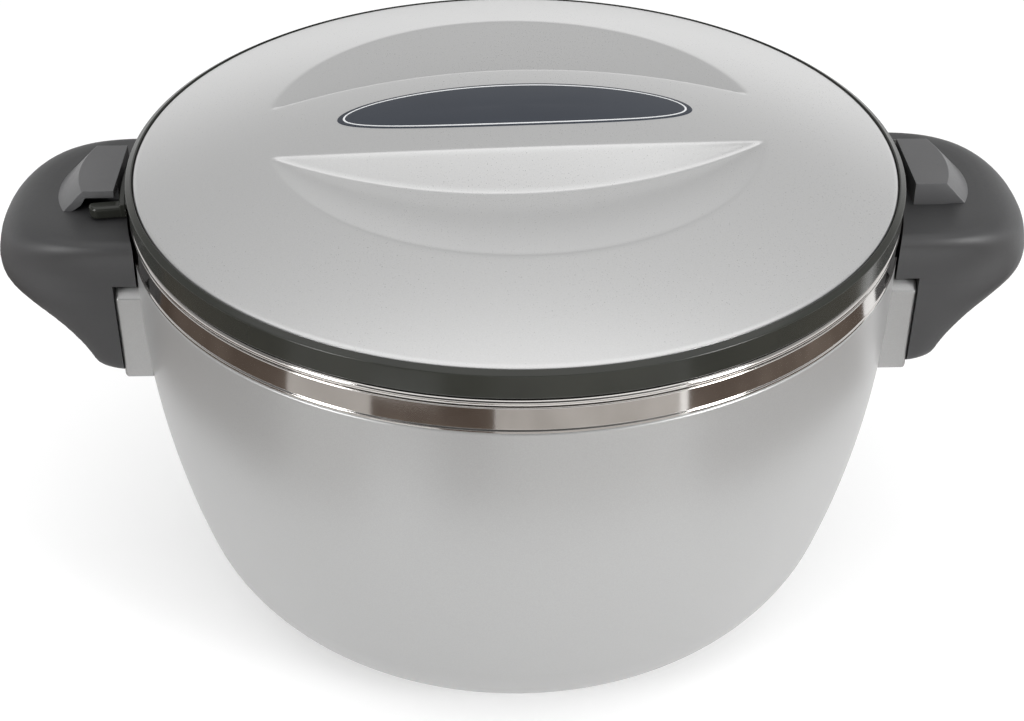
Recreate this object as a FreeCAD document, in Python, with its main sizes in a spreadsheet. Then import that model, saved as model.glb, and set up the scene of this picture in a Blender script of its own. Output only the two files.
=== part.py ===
import FreeCAD, Part
import math
import os
import Sketcher
from FreeCAD import Vector, Placement, Rotation

# Insulated chapati casserole: double-walled pot, two side handles with lock
# hooks, and a lift-off lid whose ring carries two bayonet lugs.
# Millimetres. Origin: centre of the base ring on the table. +Z up, handles on
# the X axis. The two sides repeat by a half turn about Z.

os.makedirs("parts", exist_ok=True)
doc = FreeCAD.newDocument("casserole")

# ---------------------------------------------------------------- dimensions
DIMS = [
    # outer shell
    ("shell_rad", 132.5, "outer radius of the straight upper wall"),
    ("shell_step_z", 143.9, "height of the step under the steel band"),
    ("shell_neck_rad", 130.8, "radius of the neck inside the steel band"),
    ("shell_top_z", 154.0, "top of the neck"),
    ("shell_wall", 2.8, "wall thickness"),
    ("taper_top_z", 125.0, "where the wall starts to curve in"),
    ("taper_arc", 332.0, "radius of the long wall curve"),
    ("knee_rad", 119.64, "radius where the base curve starts"),
    ("knee_z", 33.49, "height where the base curve starts"),
    ("knee_arc", 46.2, "radius of the base curve"),
    ("foot_rad", 75.2, "outer radius of the flat base ring"),
    ("foot_in_rad", 66.0, "inner radius of the flat base ring"),
    ("foot_rise", 2.5, "recess inside the base ring"),
    ("fill_hole_rad", 9.0, "foam filling hole"),
    # moulded handle blocks
    ("block_face", 136.5, "distance of the block face from the axis"),
    ("block_half", 35.5, "half width of a block"),
    ("block_bot_z", 97.5, "underside of a block"),
    ("block_top_z", 132.5, "top of a block"),
    ("block_cut", 3.0, "chamfer along the top of a block's sides"),
    ("screw_y", 18.0, "handle screw offset from the middle"),
    ("screw_z", 117.0, "handle screw height"),
    # inner pot
    ("pot_rad", 121.4, "outer radius of the steel pot"),
    ("steel", 0.8, "sheet thickness"),
    ("pot_taper_z", 128.0, "where the pot wall starts to curve in"),
    ("pot_arc", 320.0, "radius of the pot's long curve"),
    ("pot_knee_rad", 109.0, "radius where the pot's base curve starts"),
    ("pot_knee_z", 39.8, "height where the pot's base curve starts"),
    ("pot_knee_arc", 35.6, "radius of the pot's base curve"),
    ("pot_floor_rad", 74.8, "flat of the pot's floor"),
    ("pot_base_z", 14.0, "underside of the pot"),
    ("rim_z", 156.0, "top of the rolled rim"),
    ("bead_mid", 131.2, "radius at the middle of the rolled bead"),
    ("bead_arc", 1.3, "outer radius of the bead's section"),
    ("gap", 0.2, "standing gap between neighbours"),
    # steel band
    ("band_out", 132.2, "outer radius of the band"),
    ("band_in", 131.0, "inner radius of the band"),
    ("band_bot_z", 143.9, "lower edge, on the shell's step"),
    ("band_top_z", 153.2, "upper edge"),
    ("band_lip", 132.6, "radius over the rolled lower lip"),
    ("band_lip_z", 145.2, "top of the lower lip"),
    # handles
    ("hood_root", 127.0, "plane that the hood's half ovals start from"),
    ("hood_wall", 3.2, "wall of the hood"),
    ("hood_top_z", 153.2, "top of the hood"),
    ("hood_roof_z", 149.4, "underside of the hood's roof"),
    ("hood_flange", 141.5, "inner face of the root flange"),
    ("hood_bore", 133.3, "radius that clears the steel band"),
    ("track_rad", 146.7, "outer radius of the lug track"),
    ("track_z", 152.7, "floor of the lug track"),
    ("boss_rad", 4.6, "screw boss"),
    ("boss_end", 151.0, "end of the screw bosses"),
    # lock hooks
    ("hook_in", 136.0, "inner face of a hook"),
    ("hook_end", 146.6, "outer edge of the hook's top at its ends"),
    ("hook_mid", 149.8, "outer edge of the hook's top at its middle"),
    ("hook_foot_end", 154.3, "outer edge of the hook's foot at its ends"),
    ("hook_foot_mid", 158.4, "outer edge of the hook's foot at its middle"),
    ("hook_half", 16.3, "half length of the hook's top"),
    ("hook_foot_half", 16.7, "half length of the hook's foot"),
    ("hook_top_z", 160.7, "top of a hook"),
    ("pocket_z", 158.0, "roof of the lug pocket"),
    ("pocket_end_y", 8.0, "blind end of the lug pocket"),
    ("pocket_foot", 151.2, "outer side of the pocket at its foot"),
    ("pocket_head", 147.2, "outer side of the pocket at its roof"),
    # screws
    ("hs_shank", 2.0, "handle screw shank radius"),
    ("hs_head", 3.8, "handle screw head radius"),
    ("hs_head_t", 2.2, "handle screw head thickness"),
    ("hs_tip", 149.6, "end of the handle screws"),
    ("hs_seat", 132.4, "seat of the handle screw heads"),
    ("ks_shank", 1.4, "hook screw shank radius"),
    ("ks_head", 2.8, "hook screw head radius"),
    ("ks_head_t", 1.8, "hook screw head thickness"),
    ("ks_x", 146.2, "hook screw distance from the axis"),
    ("ks_y_a", 3.0, "first hook screw offset"),
    ("ks_y_b", 11.0, "second hook screw offset"),
    ("ks_tip_z", 158.3, "tip of the hook screws"),
    ("ls_shank", 1.2, "lid screw shank radius"),
    ("ls_head", 2.3, "lid screw head radius"),
    ("ls_head_t", 1.4, "lid screw head thickness"),
    ("ls_circle", 120.0, "lid screw circle radius"),
    ("ls_tip_z", 166.6, "tip of the lid screws"),
    ("ls_boss", 2.9, "lid screw boss radius"),
    # lid ring
    ("ring_bot_z", 156.4, "lower edge of the lid ring"),
    ("ring_bot_rad", 132.3, "outer radius at the lower edge"),
    ("ring_top_rad", 132.7, "outer radius at the upper edge"),
    ("ring_top_z", 165.4, "outer upper edge"),
    ("ring_lip_z", 165.8, "inner upper edge"),
    ("ring_seat_rad", 130.2, "rebate for the cover"),
    ("ring_shelf_z", 162.8, "shelf under the cover"),
    ("ring_shelf_b", 160.2, "underside of the shelf"),
    ("ring_shelf_in", 116.9, "inner radius of the shelf"),
    ("ring_skirt_in", 129.6, "inner radius of the skirt"),
    # lugs on the lid ring
    ("rib_in", 133.2, "inner radius of the hanging rib"),
    ("rib_out", 135.4, "outer radius of the hanging rib"),
    ("rib_bot_z", 153.3, "lower edge of the rib"),
    ("rib_top_z", 158.5, "upper edge of the rib"),
    ("lug_tip", 145.5, "reach of a lug from the axis"),
    ("lug_half", 2.5, "half width of a lug"),
    ("lug_bot_z", 153.1, "underside of a lug"),
    ("lug_top_z", 157.65, "top of a lug"),
    # lid cover
    ("cover_rad", 130.0, "edge of the cover"),
    ("cover_bot_z", 162.8, "underside of the cover's rim, on the ring's shelf"),
    ("dome_z", 183.5, "top of the dome"),
    ("dome_arc", 481.0, "radius of the dome"),
    ("cover_wall", 2.5, "cover thickness"),
    ("dish_rad", 85.0, "radius of the finger dish"),
    ("dish_mid_z", 169.7, "dish height on the axis"),
    ("dish_arc", 590.0, "radius of the dish floor"),
    ("grip_end", 88.0, "end of the bridge outline"),
    ("grip_top_mid", 27.7, "half width of the bridge outline, top, middle"),
    ("grip_top_end", 8.4, "half width of the bridge outline, top, ends"),
    ("grip_bot_mid", 41.1, "half width of the bridge outline, foot, middle"),
    ("grip_bot_end", 21.8, "half width of the bridge outline, foot, ends"),
    ("grip_top_z", 184.5, "height of the upper bridge outline"),
    ("grip_bot_z", 168.0, "height of the lower bridge outline"),
    ("grip_inset", 3.2, "inset of the hollow under the bridge"),
    # name plate
    ("plate_half_x", 60.6, "half length of the name plate"),
    ("plate_rear_y", 16.5, "half width of the name plate, rear"),
    ("plate_front_y", 14.8, "half width of the name plate, front"),
    ("plate_seat", 0.85, "depth of its seat"),
    ("plate_t", 0.75, "thickness of the plate"),
    ("plug_rad", 5.9, "lid filling plug"),
    # liner, gasket
    ("liner_rad", 116.6, "outer radius of the lid liner"),
    ("liner_base_z", 150.0, "underside of the lid liner"),
    ("liner_corner", 4.0, "corner radius of the lid liner"),
    ("liner_flange_z", 160.2, "top of the liner's flange, under the ring's shelf"),
    ("liner_flange_rad", 122.8, "outer radius of the liner's flange"),
    ("gasket_in", 123.4, "inner radius of the gasket"),
    ("gasket_out", 129.2, "outer radius of the gasket"),
    ("gasket_bot_z", 156.15, "underside of the gasket"),
    ("gasket_top_z", 160.0, "top of the gasket"),
    ("lid_turn_rest", 3.0, "lid angle at rest, degrees"),
]
sheet = doc.addObject("Spreadsheet::Sheet", "dims")
sheet.set("A1", "name")
sheet.set("B1", "value")
sheet.set("C1", "meaning")
V = {}
for i, (name, value, note) in enumerate(DIMS):
    row = i + 2
    sheet.set("A%d" % row, name)
    sheet.set("B%d" % row, repr(value))
    sheet.set("C%d" % row, note)
    sheet.setAlias("B%d" % row, name)
    V[name] = value
doc.recompute()


class Q:
    """A size with its value now and the sheet expression that drives it."""

    def __init__(self, v, e):
        self.v = float(v)
        self.e = e

    def _mix(self, o, op, v, swap=False):
        oe = o.e if isinstance(o, Q) else repr(float(o))
        a, b = (oe, self.e) if swap else (self.e, oe)
        return Q(v, "(%s %s %s)" % (a, op, b))

    def __add__(self, o):
        return self._mix(o, "+", self.v + (o.v if isinstance(o, Q) else o))

    def __sub__(self, o):
        return self._mix(o, "-", self.v - (o.v if isinstance(o, Q) else o))

    def __mul__(self, o):
        return self._mix(o, "*", self.v * (o.v if isinstance(o, Q) else o))


def D(name):
    return Q(V[name], "dims." + name)


def plane(body, role):
    for f in body.Origin.OriginFeatures:
        if f.Role == role:
            return f
    raise RuntimeError(role)


def draw(sk, verts, arcs=None):
    """Closed outline through verts [(Q|0, Q|0)]; arcs {edge: (Q radius, side)}.
    side +1 bulges to the left of the direction of travel, -1 to the right."""
    arcs = arcs or {}
    n = len(verts)

    def num(q):
        return q.v if isinstance(q, Q) else float(q)

    pts = [Vector(num(a), num(b), 0) for a, b in verts]
    for i in range(n):
        a, b = pts[i], pts[(i + 1) % n]
        if i in arcs:
            r, side = arcs[i]
            mid = (a + b) * 0.5
            d = b - a
            half = d.Length / 2
            left = Vector(-d.y, d.x, 0).normalize()
            # the centre lies on the side away from the bulge
            c = mid - left * side * math.sqrt(max(r.v ** 2 - half ** 2, 0.0))
            a0 = math.atan2(a.y - c.y, a.x - c.x)
            a1 = math.atan2(b.y - c.y, b.x - c.x)
            circle = Part.Circle(c, Vector(0, 0, 1), r.v)
            if side > 0:
                sk.addGeometry(Part.ArcOfCircle(circle, a1, a0), False)
            else:
                sk.addGeometry(Part.ArcOfCircle(circle, a0, a1), False)
        else:
            sk.addGeometry(Part.LineSegment(a, b), False)

    def ends(i):
        # point ids of the edge's start and end along the direction of travel
        if i in arcs and arcs[i][1] > 0:
            return 2, 1
        return 1, 2

    for i in range(n):
        j = (i + 1) % n
        sk.addConstraint(Sketcher.Constraint("Coincident", i, ends(i)[1], j, ends(j)[0]))
    for i, (a, b) in enumerate(verts):
        p = ends(i)[0]
        for q, kind, axis in ((a, "DistanceX", -2), (b, "DistanceY", -1)):
            if isinstance(q, Q):
                k = sk.addConstraint(Sketcher.Constraint(kind, i, p, q.v))
                sk.setExpression("Constraints[%d]" % k, q.e)
            else:
                sk.addConstraint(Sketcher.Constraint("PointOnObject", i, p, axis))
    for i, (r, side) in arcs.items():
        k = sk.addConstraint(Sketcher.Constraint("Radius", i, r.v))
        sk.setExpression("Constraints[%d]" % k, r.e)


def turned(name, verts, arcs=None):
    """A turned piece: a body with one sketch on XZ, revolved about Z."""
    body = doc.addObject("PartDesign::Body", name)
    body.Label = name
    sk = body.newObject("Sketcher::SketchObject", name + "_profile")
    sk.AttachmentSupport = [(plane(body, "XZ_Plane"), "")]
    sk.MapMode = "FlatFace"
    doc.recompute()
    draw(sk, verts, arcs)
    doc.recompute()
    rev = body.newObject("PartDesign::Revolution", name + "_turn")
    rev.Profile = sk
    rev.ReferenceAxis = (sk, ["V_Axis"])
    rev.Angle = 360.0
    doc.recompute()
    return body


def boolean(kind, name, a, b):
    o = doc.addObject("Part::" + kind, name)
    if kind in ("Cut",):
        o.Base, o.Tool = a, b
    else:
        o.Shapes = [a] + list(b)
    o.Label = name
    return o


def cyl(name, rad, height, pos, axis=(0, 0, 1)):
    """Cylinder with bound radius, height and position (numbers or Q)."""
    o = doc.addObject("Part::Cylinder", name)
    o.Placement = Placement(Vector(0, 0, 0), Rotation(Vector(0, 0, 1), Vector(*axis)))
    bind(o, "Radius", rad)
    bind(o, "Height", height)
    place(o, pos)
    return o


def bind(o, prop, q):
    if isinstance(q, Q):
        setattr(o, prop, q.v)
        o.setExpression(prop, q.e)
    else:
        setattr(o, prop, float(q))


def place(o, pos):
    base = Vector(*[q.v if isinstance(q, Q) else float(q) for q in pos])
    o.Placement = Placement(base, o.Placement.Rotation)
    for q, ax in zip(pos, "xyz"):
        if isinstance(q, Q):
            o.setExpression("Placement.Base." + ax, q.e)


def box(name, low, high):
    """Box between two corners, each coordinate a number or Q."""
    o = doc.addObject("Part::Box", name)

    def val(q):
        return q if isinstance(q, Q) else Q(q, repr(float(q)))

    for prop, a, b in zip(("Length", "Width", "Height"), low, high):
        bind(o, prop, val(b) - val(a))
    place(o, low)
    return o


def half_turn(o):
    o.Placement = Placement(Vector(0, 0, 0), Rotation(Vector(0, 0, 1), 180)).multiply(o.Placement)
    return o


NODES = []


def node(o, name):
    o.Label = name
    NODES.append(o)
    return o


C16, S16 = math.cos(math.radians(16)), math.sin(math.radians(16))

# ------------------------------------------------------------ outer shell
shell_solid = turned(
    "shell_solid",
    [(0, D("foot_rise")), (D("foot_in_rad"), D("foot_rise")), (D("foot_in_rad") + 2.5, 0),
     (D("foot_rad"), 0), (D("knee_rad"), D("knee_z")), (D("shell_rad"), D("taper_top_z")),
     (D("shell_rad"), D("shell_step_z") - 0.8), (D("shell_rad") - 0.8, D("shell_step_z")),
     (D("shell_neck_rad"), D("shell_step_z")), (D("shell_neck_rad"), D("shell_top_z")), (0, D("shell_top_z"))],
    {3: (D("knee_arc"), -1), 4: (D("taper_arc"), -1)})
w = D("shell_wall")
shell_void = turned(
    "shell_void",
    [(0, D("foot_rise") + w), (D("foot_in_rad") - 2.0, D("foot_rise") + w), (D("foot_in_rad") + 3.0, w),
     (D("foot_rad"), w), (D("knee_rad") - w * C16, D("knee_z") + w * S16),
     (D("shell_rad") - w, D("taper_top_z")), (D("shell_rad") - w, D("shell_step_z") - 3.0),
     (D("shell_neck_rad") - w, D("shell_step_z") + 1.0), (D("shell_neck_rad") - w, D("shell_top_z") + 5.0),
     (0, D("shell_top_z") + 5.0)],
    {3: (D("knee_arc") - w, -1), 4: (D("taper_arc") - w, -1)})


def block(name):
    # moulded handle block: chamfered along the top, rounded face edges and foot
    b = box(name + "_box", (120.0, D("block_half") * -1.0, D("block_bot_z")),
            (D("block_face"), D("block_half"), D("block_top_z")))
    doc.recompute()
    top, face, mid_z = V["block_top_z"], V["block_face"], (V["block_bot_z"] + V["block_top_z"]) / 2
    c_ = doc.addObject("Part::Chamfer", name + "_chamfer")
    c_.Base = b
    c_.Edges = [(k, V["block_cut"], V["block_cut"]) for k, e in enumerate(b.Shape.Edges, 1)
                if abs(e.CenterOfMass.z - top) < 0.01 and abs(abs(e.CenterOfMass.y) - V["block_half"]) < 0.01]
    doc.recompute()
    f = doc.addObject("Part::Fillet", name)
    f.Base = c_
    picks = []
    for k, e in enumerate(c_.Shape.Edges, 1):
        c = e.CenterOfMass
        if c.x < face - 0.01:
            continue
        if abs(c.z - V["block_bot_z"]) < 0.01:
            picks.append((k, 3.0, 3.0))
        elif abs(c.z - mid_z) < 2.0:
            picks.append((k, 1.3, 1.3))
        else:
            picks.append((k, 0.9, 0.9))
    f.Edges = picks
    doc.recompute()
    return f


block_right = block("block_right")
block_left = half_turn(block("block_left"))
shell_blank = boolean("MultiFuse", "shell_blank", shell_solid, [block_right, block_left])
shell_hollow = boolean("Cut", "shell_hollow", shell_blank, shell_void)
shell_holes = []
for side, turn in (("r", False), ("l", True)):
    for tag, sy in (("a", 1.0), ("b", -1.0)):
        for o in (cyl("sh_bore_%s%s" % (side, tag), D("hs_shank") + 0.15, 30.0,
                      (115.0, D("screw_y") * sy, D("screw_z")), (1, 0, 0)),
                  cyl("sh_sink_%s%s" % (side, tag), D("hs_head") + 0.3, D("hs_seat") - 115.0,
                      (115.0, D("screw_y") * sy, D("screw_z")), (1, 0, 0))):
            if turn:
                # the left pair repeats the right pair by a half turn
                o.setExpression("Placement.Base.y", None)
                o.setExpression("Placement.Base.z", None)
                half_turn(o)
            shell_holes.append(o)
shell_holes.append(cyl("sh_fill", D("fill_hole_rad"), 12.0, (0.0, 0.0, -1.0)))
shell_tools = doc.addObject("Part::MultiFuse", "shell_tools")
shell_tools.Shapes = shell_holes
node(boolean("Cut", "outer_shell", shell_hollow, shell_tools), "outer_shell")

# --------------------------------------------------------------- inner pot
t = D("steel")
rim = D("rim_z")
inner_pot = turned(
    "inner_pot",
    [(0, D("pot_base_z")), (D("pot_floor_rad"), D("pot_base_z")), (D("pot_knee_rad"), D("pot_knee_z")),
     (D("pot_rad"), D("pot_taper_z")), (D("pot_rad"), rim - t - 0.9), (D("pot_rad") + 0.9, rim - t),
     (D("bead_mid"), rim - t), (D("bead_mid"), rim - D("bead_arc") * 2 + t), (D("bead_mid"), rim - D("bead_arc") * 2),
     (D("bead_mid"), rim), (D("pot_rad") + 0.9, rim), (D("pot_rad") - t, rim - 1.7),
     (D("pot_rad") - t, D("pot_taper_z")), (D("pot_knee_rad") - t * C16, D("pot_knee_z") + t * S16),
     (D("pot_floor_rad"), D("pot_base_z") + t), (0, D("pot_base_z") + t)],
    {1: (D("pot_knee_arc"), -1), 2: (D("pot_arc"), -1), 4: (Q(0.9, "0.9"), 1),
     6: (D("bead_arc") - t, 1), 8: (D("bead_arc"), -1), 10: (Q(1.7, "1.7"), -1),
     12: (D("pot_arc") - t, 1), 13: (D("pot_knee_arc") - t, 1)})
node(inner_pot, "inner_pot")

# ---------------------------------------------------------------- rim seal
node(turned("rim_seal", [(D("shell_neck_rad") - w, D("shell_top_z")), (D("shell_neck_rad"), D("shell_top_z")),
                         (D("shell_neck_rad"), rim - t), (D("shell_neck_rad") - w, rim - t)]), "rim_seal")

# ---------------------------------------------------------------- rim band
node(turned("rim_band", [(D("band_in"), D("band_bot_z")), (D("band_lip") - 0.3, D("band_bot_z")),
                         (D("band_lip"), D("band_bot_z") + 0.35), (D("band_lip"), D("band_lip_z") - 0.35),
                         (D("band_lip") - 0.3, D("band_lip_z")), (D("band_out"), D("band_lip_z") + 0.2),
                         (D("band_out"), D("band_top_z")), (D("band_in"), D("band_top_z"))]), "rim_band")

# ------------------------------------------------------ foam between walls
g = D("gap")
foam_ring = turned(
    "foam_ring",
    [(0, D("foot_rise") + w), (D("foot_in_rad") - 2.0, D("foot_rise") + w),
     (D("foot_in_rad") + 3.0, w + g), (D("foot_rad"), w + g),
     (D("knee_rad") - (w + g) * C16, D("knee_z") + (w + g) * S16),
     (D("shell_rad") - w - g, D("taper_top_z")), (D("shell_rad") - w - g, D("shell_step_z") - 3.2),
     (D("shell_neck_rad") - w - g, D("shell_step_z") + 0.8), (D("shell_neck_rad") - w - g, rim - t - 1.2),
     (D("pot_rad") + 1.2, rim - t - 1.2), (D("pot_rad") + g, rim - t - 2.4), (D("pot_rad") + g, D("pot_taper_z")),
     (D("pot_knee_rad") + g * C16, D("pot_knee_z") - g * S16), (D("pot_floor_rad"), D("pot_base_z") - g),
     (D("pot_floor_rad") - 3.0, D("pot_base_z")), (0, D("pot_base_z"))],
    {3: (D("knee_arc") - w - g, -1), 4: (D("taper_arc") - w - g, -1),
     11: (D("pot_arc") + g, 1), 12: (D("pot_knee_arc") + g, 1)})
foam_cut = cyl("foam_cut", D("fill_hole_rad") + 0.2, 6.4, (0.0, 0.0, 0.0))
node(boolean("Cut", "body_insulation", foam_ring, foam_cut), "body_insulation")

# -------------------------------------------------------- foam filling plug
node(turned("foam_fill_plug",
            [(0, Q(1.3, "1.3")), (Q(11.2, "11.2"), Q(1.3, "1.3")),
             (Q(12.0, "12.0"), Q(2.0, "2.0")), (Q(12.0, "12.0"), D("foot_rise")),
             (D("fill_hole_rad") - 0.1, D("foot_rise")), (D("fill_hole_rad") - 0.1, Q(6.1, "6.1")),
             (0, Q(6.1, "6.1"))]), "foam_fill_plug")

# ------------------------------------------------------------------ handles
# Horizontal half ovals: height, reach beyond the root plane, half width.
HOOD = [(100.3, 25.5, 34.4), (101, 27.2, 35.8), (103, 29.2, 36.3), (106.2, 31.2, 36.4), (111.4, 35.4, 36.4),
        (117.9, 41.4, 36.4), (121.5, 45.2, 36.4), (124.4, 48.3, 36.4), (127.5, 51.2, 36.3), (131, 52.8, 36.1),
        (134.5, 53, 36), (138, 52.3, 36.1), (141.5, 51.4, 36.6), (144.5, 50.2, 37.4), (147.3, 48.4, 38.4),
        (149.5, 46.2, 38.9), (151.3, 43.6, 38.5), (152.4, 40.7, 37.2), (153, 37.6, 35.1), (153.2, 34.5, 32.4)]


def half_oval(root, a, b, z, nx=3.4, ny=2.4, steps=28):
    pts = []
    for k in range(steps + 1):
        a_ = -math.pi / 2 + math.pi * k / steps
        c, s = max(math.cos(a_), 0.0), math.sin(a_)
        pts.append(Vector(root + a * c ** (2 / nx), b * math.copysign(abs(s) ** (2 / ny), s), z))
    pts[0] = Vector(root, -b, z)
    pts[-1] = Vector(root, b, z)
    curve = Part.BSplineCurve()
    curve.interpolate(pts)
    return Part.Wire([curve.toShape(), Part.LineSegment(pts[-1], pts[0]).toShape()])


def hood_at(z):
    for (z0, a0, b0), (z1, a1, b1) in zip(HOOD, HOOD[1:]):
        if z0 <= z <= z1:
            k = (z - z0) / (z1 - z0)
            return a0 + k * (a1 - a0), b0 + k * (b1 - b0)
    return HOOD[-1][1:]


def handle_shape():
    v = V
    root = v["hood_root"]
    outer = Part.makeLoft([half_oval(root, a, b, z) for z, a, b in HOOD], True, True)
    # finger space: straight sides below the widest height, open underneath
    t_ = v["hood_wall"]
    inner = []
    amax = max(a for z, a, b in HOOD)
    for z in (95.0, 134.5, 138.0, 141.5, 144.5, 147.3, v["hood_roof_z"]):
        a, b = hood_at(max(z, 134.5))
        inset = t_ + max(0.0, (z - 141.5) * 0.35)
        inner.append(half_oval(root, a - inset, min(b, 36.0) - inset, z))
    hollow = Part.makeLoft(inner, True, True)
    keep = Part.makeBox(60, 90, 90, Vector(v["hood_flange"], -45, 90))
    hollow = hollow.common(keep)
    body = outer.cut(hollow)
    # screw bosses behind the root flange
    for sy in (1, -1):
        body = body.fuse(Part.makeCylinder(v["boss_rad"], v["boss_end"] - v["hood_flange"] + 1.0,
                                           Vector(v["hood_flange"] - 1.0, sy * v["screw_y"], v["screw_z"]),
                                           Vector(1, 0, 0)))
    # room for the block below and for the steel band above it
    body = body.cut(Part.makeBox(v["block_face"] - 100.0, 90, v["block_top_z"] + 0.1 - 80.0,
                                 Vector(100.0, -45, 80.0)))
    # the underside over the block rises outwards, clear of the block's chamfers
    flat_, low = v["block_half"] - v["block_cut"], v["block_top_z"] + 0.1
    for sy in (1, -1):
        tri = Part.makePolygon([Vector(100.0, sy * (flat_ + 0.05), low - 1.0), Vector(100.0, sy * (flat_ + 0.05), low),
                                Vector(100.0, sy * 45.0, low + (45.0 - flat_ - 0.05) * 0.7),
                                Vector(100.0, sy * 45.0, low - 1.0), Vector(100.0, sy * (flat_ + 0.05), low - 1.0)])
        body = body.cut(Part.Face(tri).extrude(Vector(v["block_face"] - 100.0, 0, 0)))
    body = body.cut(Part.makeCylinder(v["hood_bore"], 80, Vector(0, 0, 90)))
    # lug track and the hook's seat
    body = body.cut(Part.makeCylinder(v["track_rad"], 10, Vector(0, 0, v["track_z"])))
    body = body.cut(Part.makeBox(40.0, 90.0, 10.0, Vector(120.0, -45.0, v["track_z"])).common(
        Part.makeCylinder(v["track_rad"], 10, Vector(0, 0, v["track_z"]))))
    seat = hook_block(v["track_z"], v["track_z"] + 3.0, 0.05, flat=True)
    body = body.cut(seat)
    # screw holes
    for sy in (1, -1):
        body = body.cut(Part.makeCylinder(v["hs_shank"] + 0.05, v["hs_tip"] + 0.6 - 120.0,
                                          Vector(120.0, sy * v["screw_y"], v["screw_z"]), Vector(1, 0, 0)))
    for y in (-v["ks_y_a"], v["ks_y_b"] * -1.0):
        body = body.cut(Part.makeCylinder(v["ks_shank"] + 0.15, 20.0, Vector(v["ks_x"], y, 140.0)))
    return body.removeSplitter()


def hook_outline(z, half, end, mid, inner):
    a = Vector(inner, -half, z)
    b = Vector(end, -half, z)
    m = Vector(mid, 0, z)
    c = Vector(end, half, z)
    d = Vector(inner, half, z)
    return Part.Wire([Part.LineSegment(a, b).toShape(), Part.Arc(b, m, c).toShape(),
                      Part.LineSegment(c, d).toShape(), Part.LineSegment(d, a).toShape()])


def hook_block(z0, z1, grow, flat=False):
    v = V
    lo = hook_outline(z0, v["hook_foot_half"] + grow, v["hook_foot_end"] + grow, v["hook_foot_mid"] + grow,
                      v["hook_in"] - grow)
    if flat:
        return Part.Face(lo).extrude(Vector(0, 0, z1 - z0))
    hi = hook_outline(z1, v["hook_half"] + grow, v["hook_end"] + grow, v["hook_mid"] + grow,
                      v["hook_in"] - grow)
    return Part.makeLoft([lo, hi], True, True)


def hook_shape():
    v = V
    body = hook_block(v["track_z"], v["hook_top_z"], 0.0)
    # lug pocket: open at the +Y end and towards the lid
    z0, z1 = v["track_z"] - 1.0, v["pocket_z"]
    slope = (v["pocket_head"] - v["pocket_foot"]) / (v["pocket_z"] - v["track_z"])
    p = [Vector(130, v["pocket_end_y"], z0), Vector(v["pocket_foot"] - slope, v["pocket_end_y"], z0),
         Vector(v["pocket_head"], v["pocket_end_y"], z1), Vector(130, v["pocket_end_y"], z1)]
    pocket = Part.Face(Part.makePolygon(p + [p[0]])).extrude(Vector(0, 20, 0))
    body = body.cut(pocket)
    for y in (-v["ks_y_a"], v["ks_y_b"] * -1.0):
        body = body.cut(Part.makeCylinder(v["ks_shank"] + 0.02, v["ks_tip_z"] + 0.5 - 150.0,
                                          Vector(v["ks_x"], y, 150.0)))
    return body.removeSplitter()


handle_solid = handle_shape()
hook_solid = hook_shape()
HALF = Placement(Vector(0, 0, 0), Rotation(Vector(0, 0, 1), 180))
for name, solid, pl in (("handle_right", handle_solid, Placement()), ("handle_left", handle_solid, HALF),
                        ("lock_hook_right", hook_solid, Placement()), ("lock_hook_left", hook_solid, HALF)):
    o = doc.addObject("Part::Feature", name)
    o.Shape = solid
    o.Placement = pl
    node(o, name)

# ------------------------------------------------------------------- screws
solids = []
for side in (0, 1):
    for sy in (1.0, -1.0):
        tag = "%d%s" % (side, "p" if sy > 0 else "m")
        head = cyl("hs_head_" + tag, D("hs_head"), D("hs_head_t"),
                   (D("hs_seat") - D("hs_head_t"), D("screw_y") * sy, D("screw_z")), (1, 0, 0))
        shank = cyl("hs_shank_" + tag, D("hs_shank"), D("hs_tip") - D("hs_seat") + D("hs_head_t") * 0.5,
                    (D("hs_seat") - D("hs_head_t") * 0.5, D("screw_y") * sy, D("screw_z")), (1, 0, 0))
        f = boolean("MultiFuse", "hs_" + tag, head, [shank])
        if side:
            f.Placement = HALF
        solids.append(f)
c = doc.addObject("Part::Compound", "handle_screws")
c.Links = solids
node(c, "handle_screws")

solids = []
for side in (0, 1):
    for key in ("ks_y_a", "ks_y_b"):
        tag = "%d%s" % (side, key[-1])
        z0 = D("hood_roof_z")
        head = cyl("ks_head_" + tag, D("ks_head"), D("ks_head_t"),
                   (D("ks_x"), D(key) * -1.0, z0 - D("ks_head_t")))
        shank = cyl("ks_shank_" + tag, D("ks_shank"), D("ks_tip_z") - z0 + D("ks_head_t") * 0.5,
                    (D("ks_x"), D(key) * -1.0, z0 - D("ks_head_t") * 0.5))
        f = boolean("MultiFuse", "ks_" + tag, head, [shank])
        if side:
            f.Placement = HALF
        solids.append(f)
c = doc.addObject("Part::Compound", "hook_screws")
c.Links = solids
node(c, "hook_screws")

# --------------------------------------------------------------- lid gasket
gi, go, gb, gt = D("gasket_in"), D("gasket_out"), D("gasket_bot_z"), D("gasket_top_z")
node(turned("lid_gasket", [(gi, gb + 0.8), (gi + 1.0, gb), (go - 1.0, gb), (go, gb + 0.8), (go, gt), (gi, gt)]),
     "lid_gasket")

# ---------------------------------------------------------------- lid ring
ring_turn = turned(
    "ring_turn",
    [(D("ring_shelf_in"), D("ring_shelf_b")), (D("ring_skirt_in"), D("ring_shelf_b")),
     (D("ring_skirt_in"), D("ring_bot_z")), (D("ring_bot_rad") - 0.5, D("ring_bot_z")),
     (D("ring_bot_rad"), D("ring_bot_z") + 0.5), (D("ring_top_rad"), D("ring_top_z") - 0.7),
     (D("ring_seat_rad") + 0.4, D("ring_lip_z")), (D("ring_seat_rad"), D("ring_lip_z")),
     (D("ring_seat_rad"), D("ring_shelf_z")), (D("ring_shelf_in"), D("ring_shelf_z"))])
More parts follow.
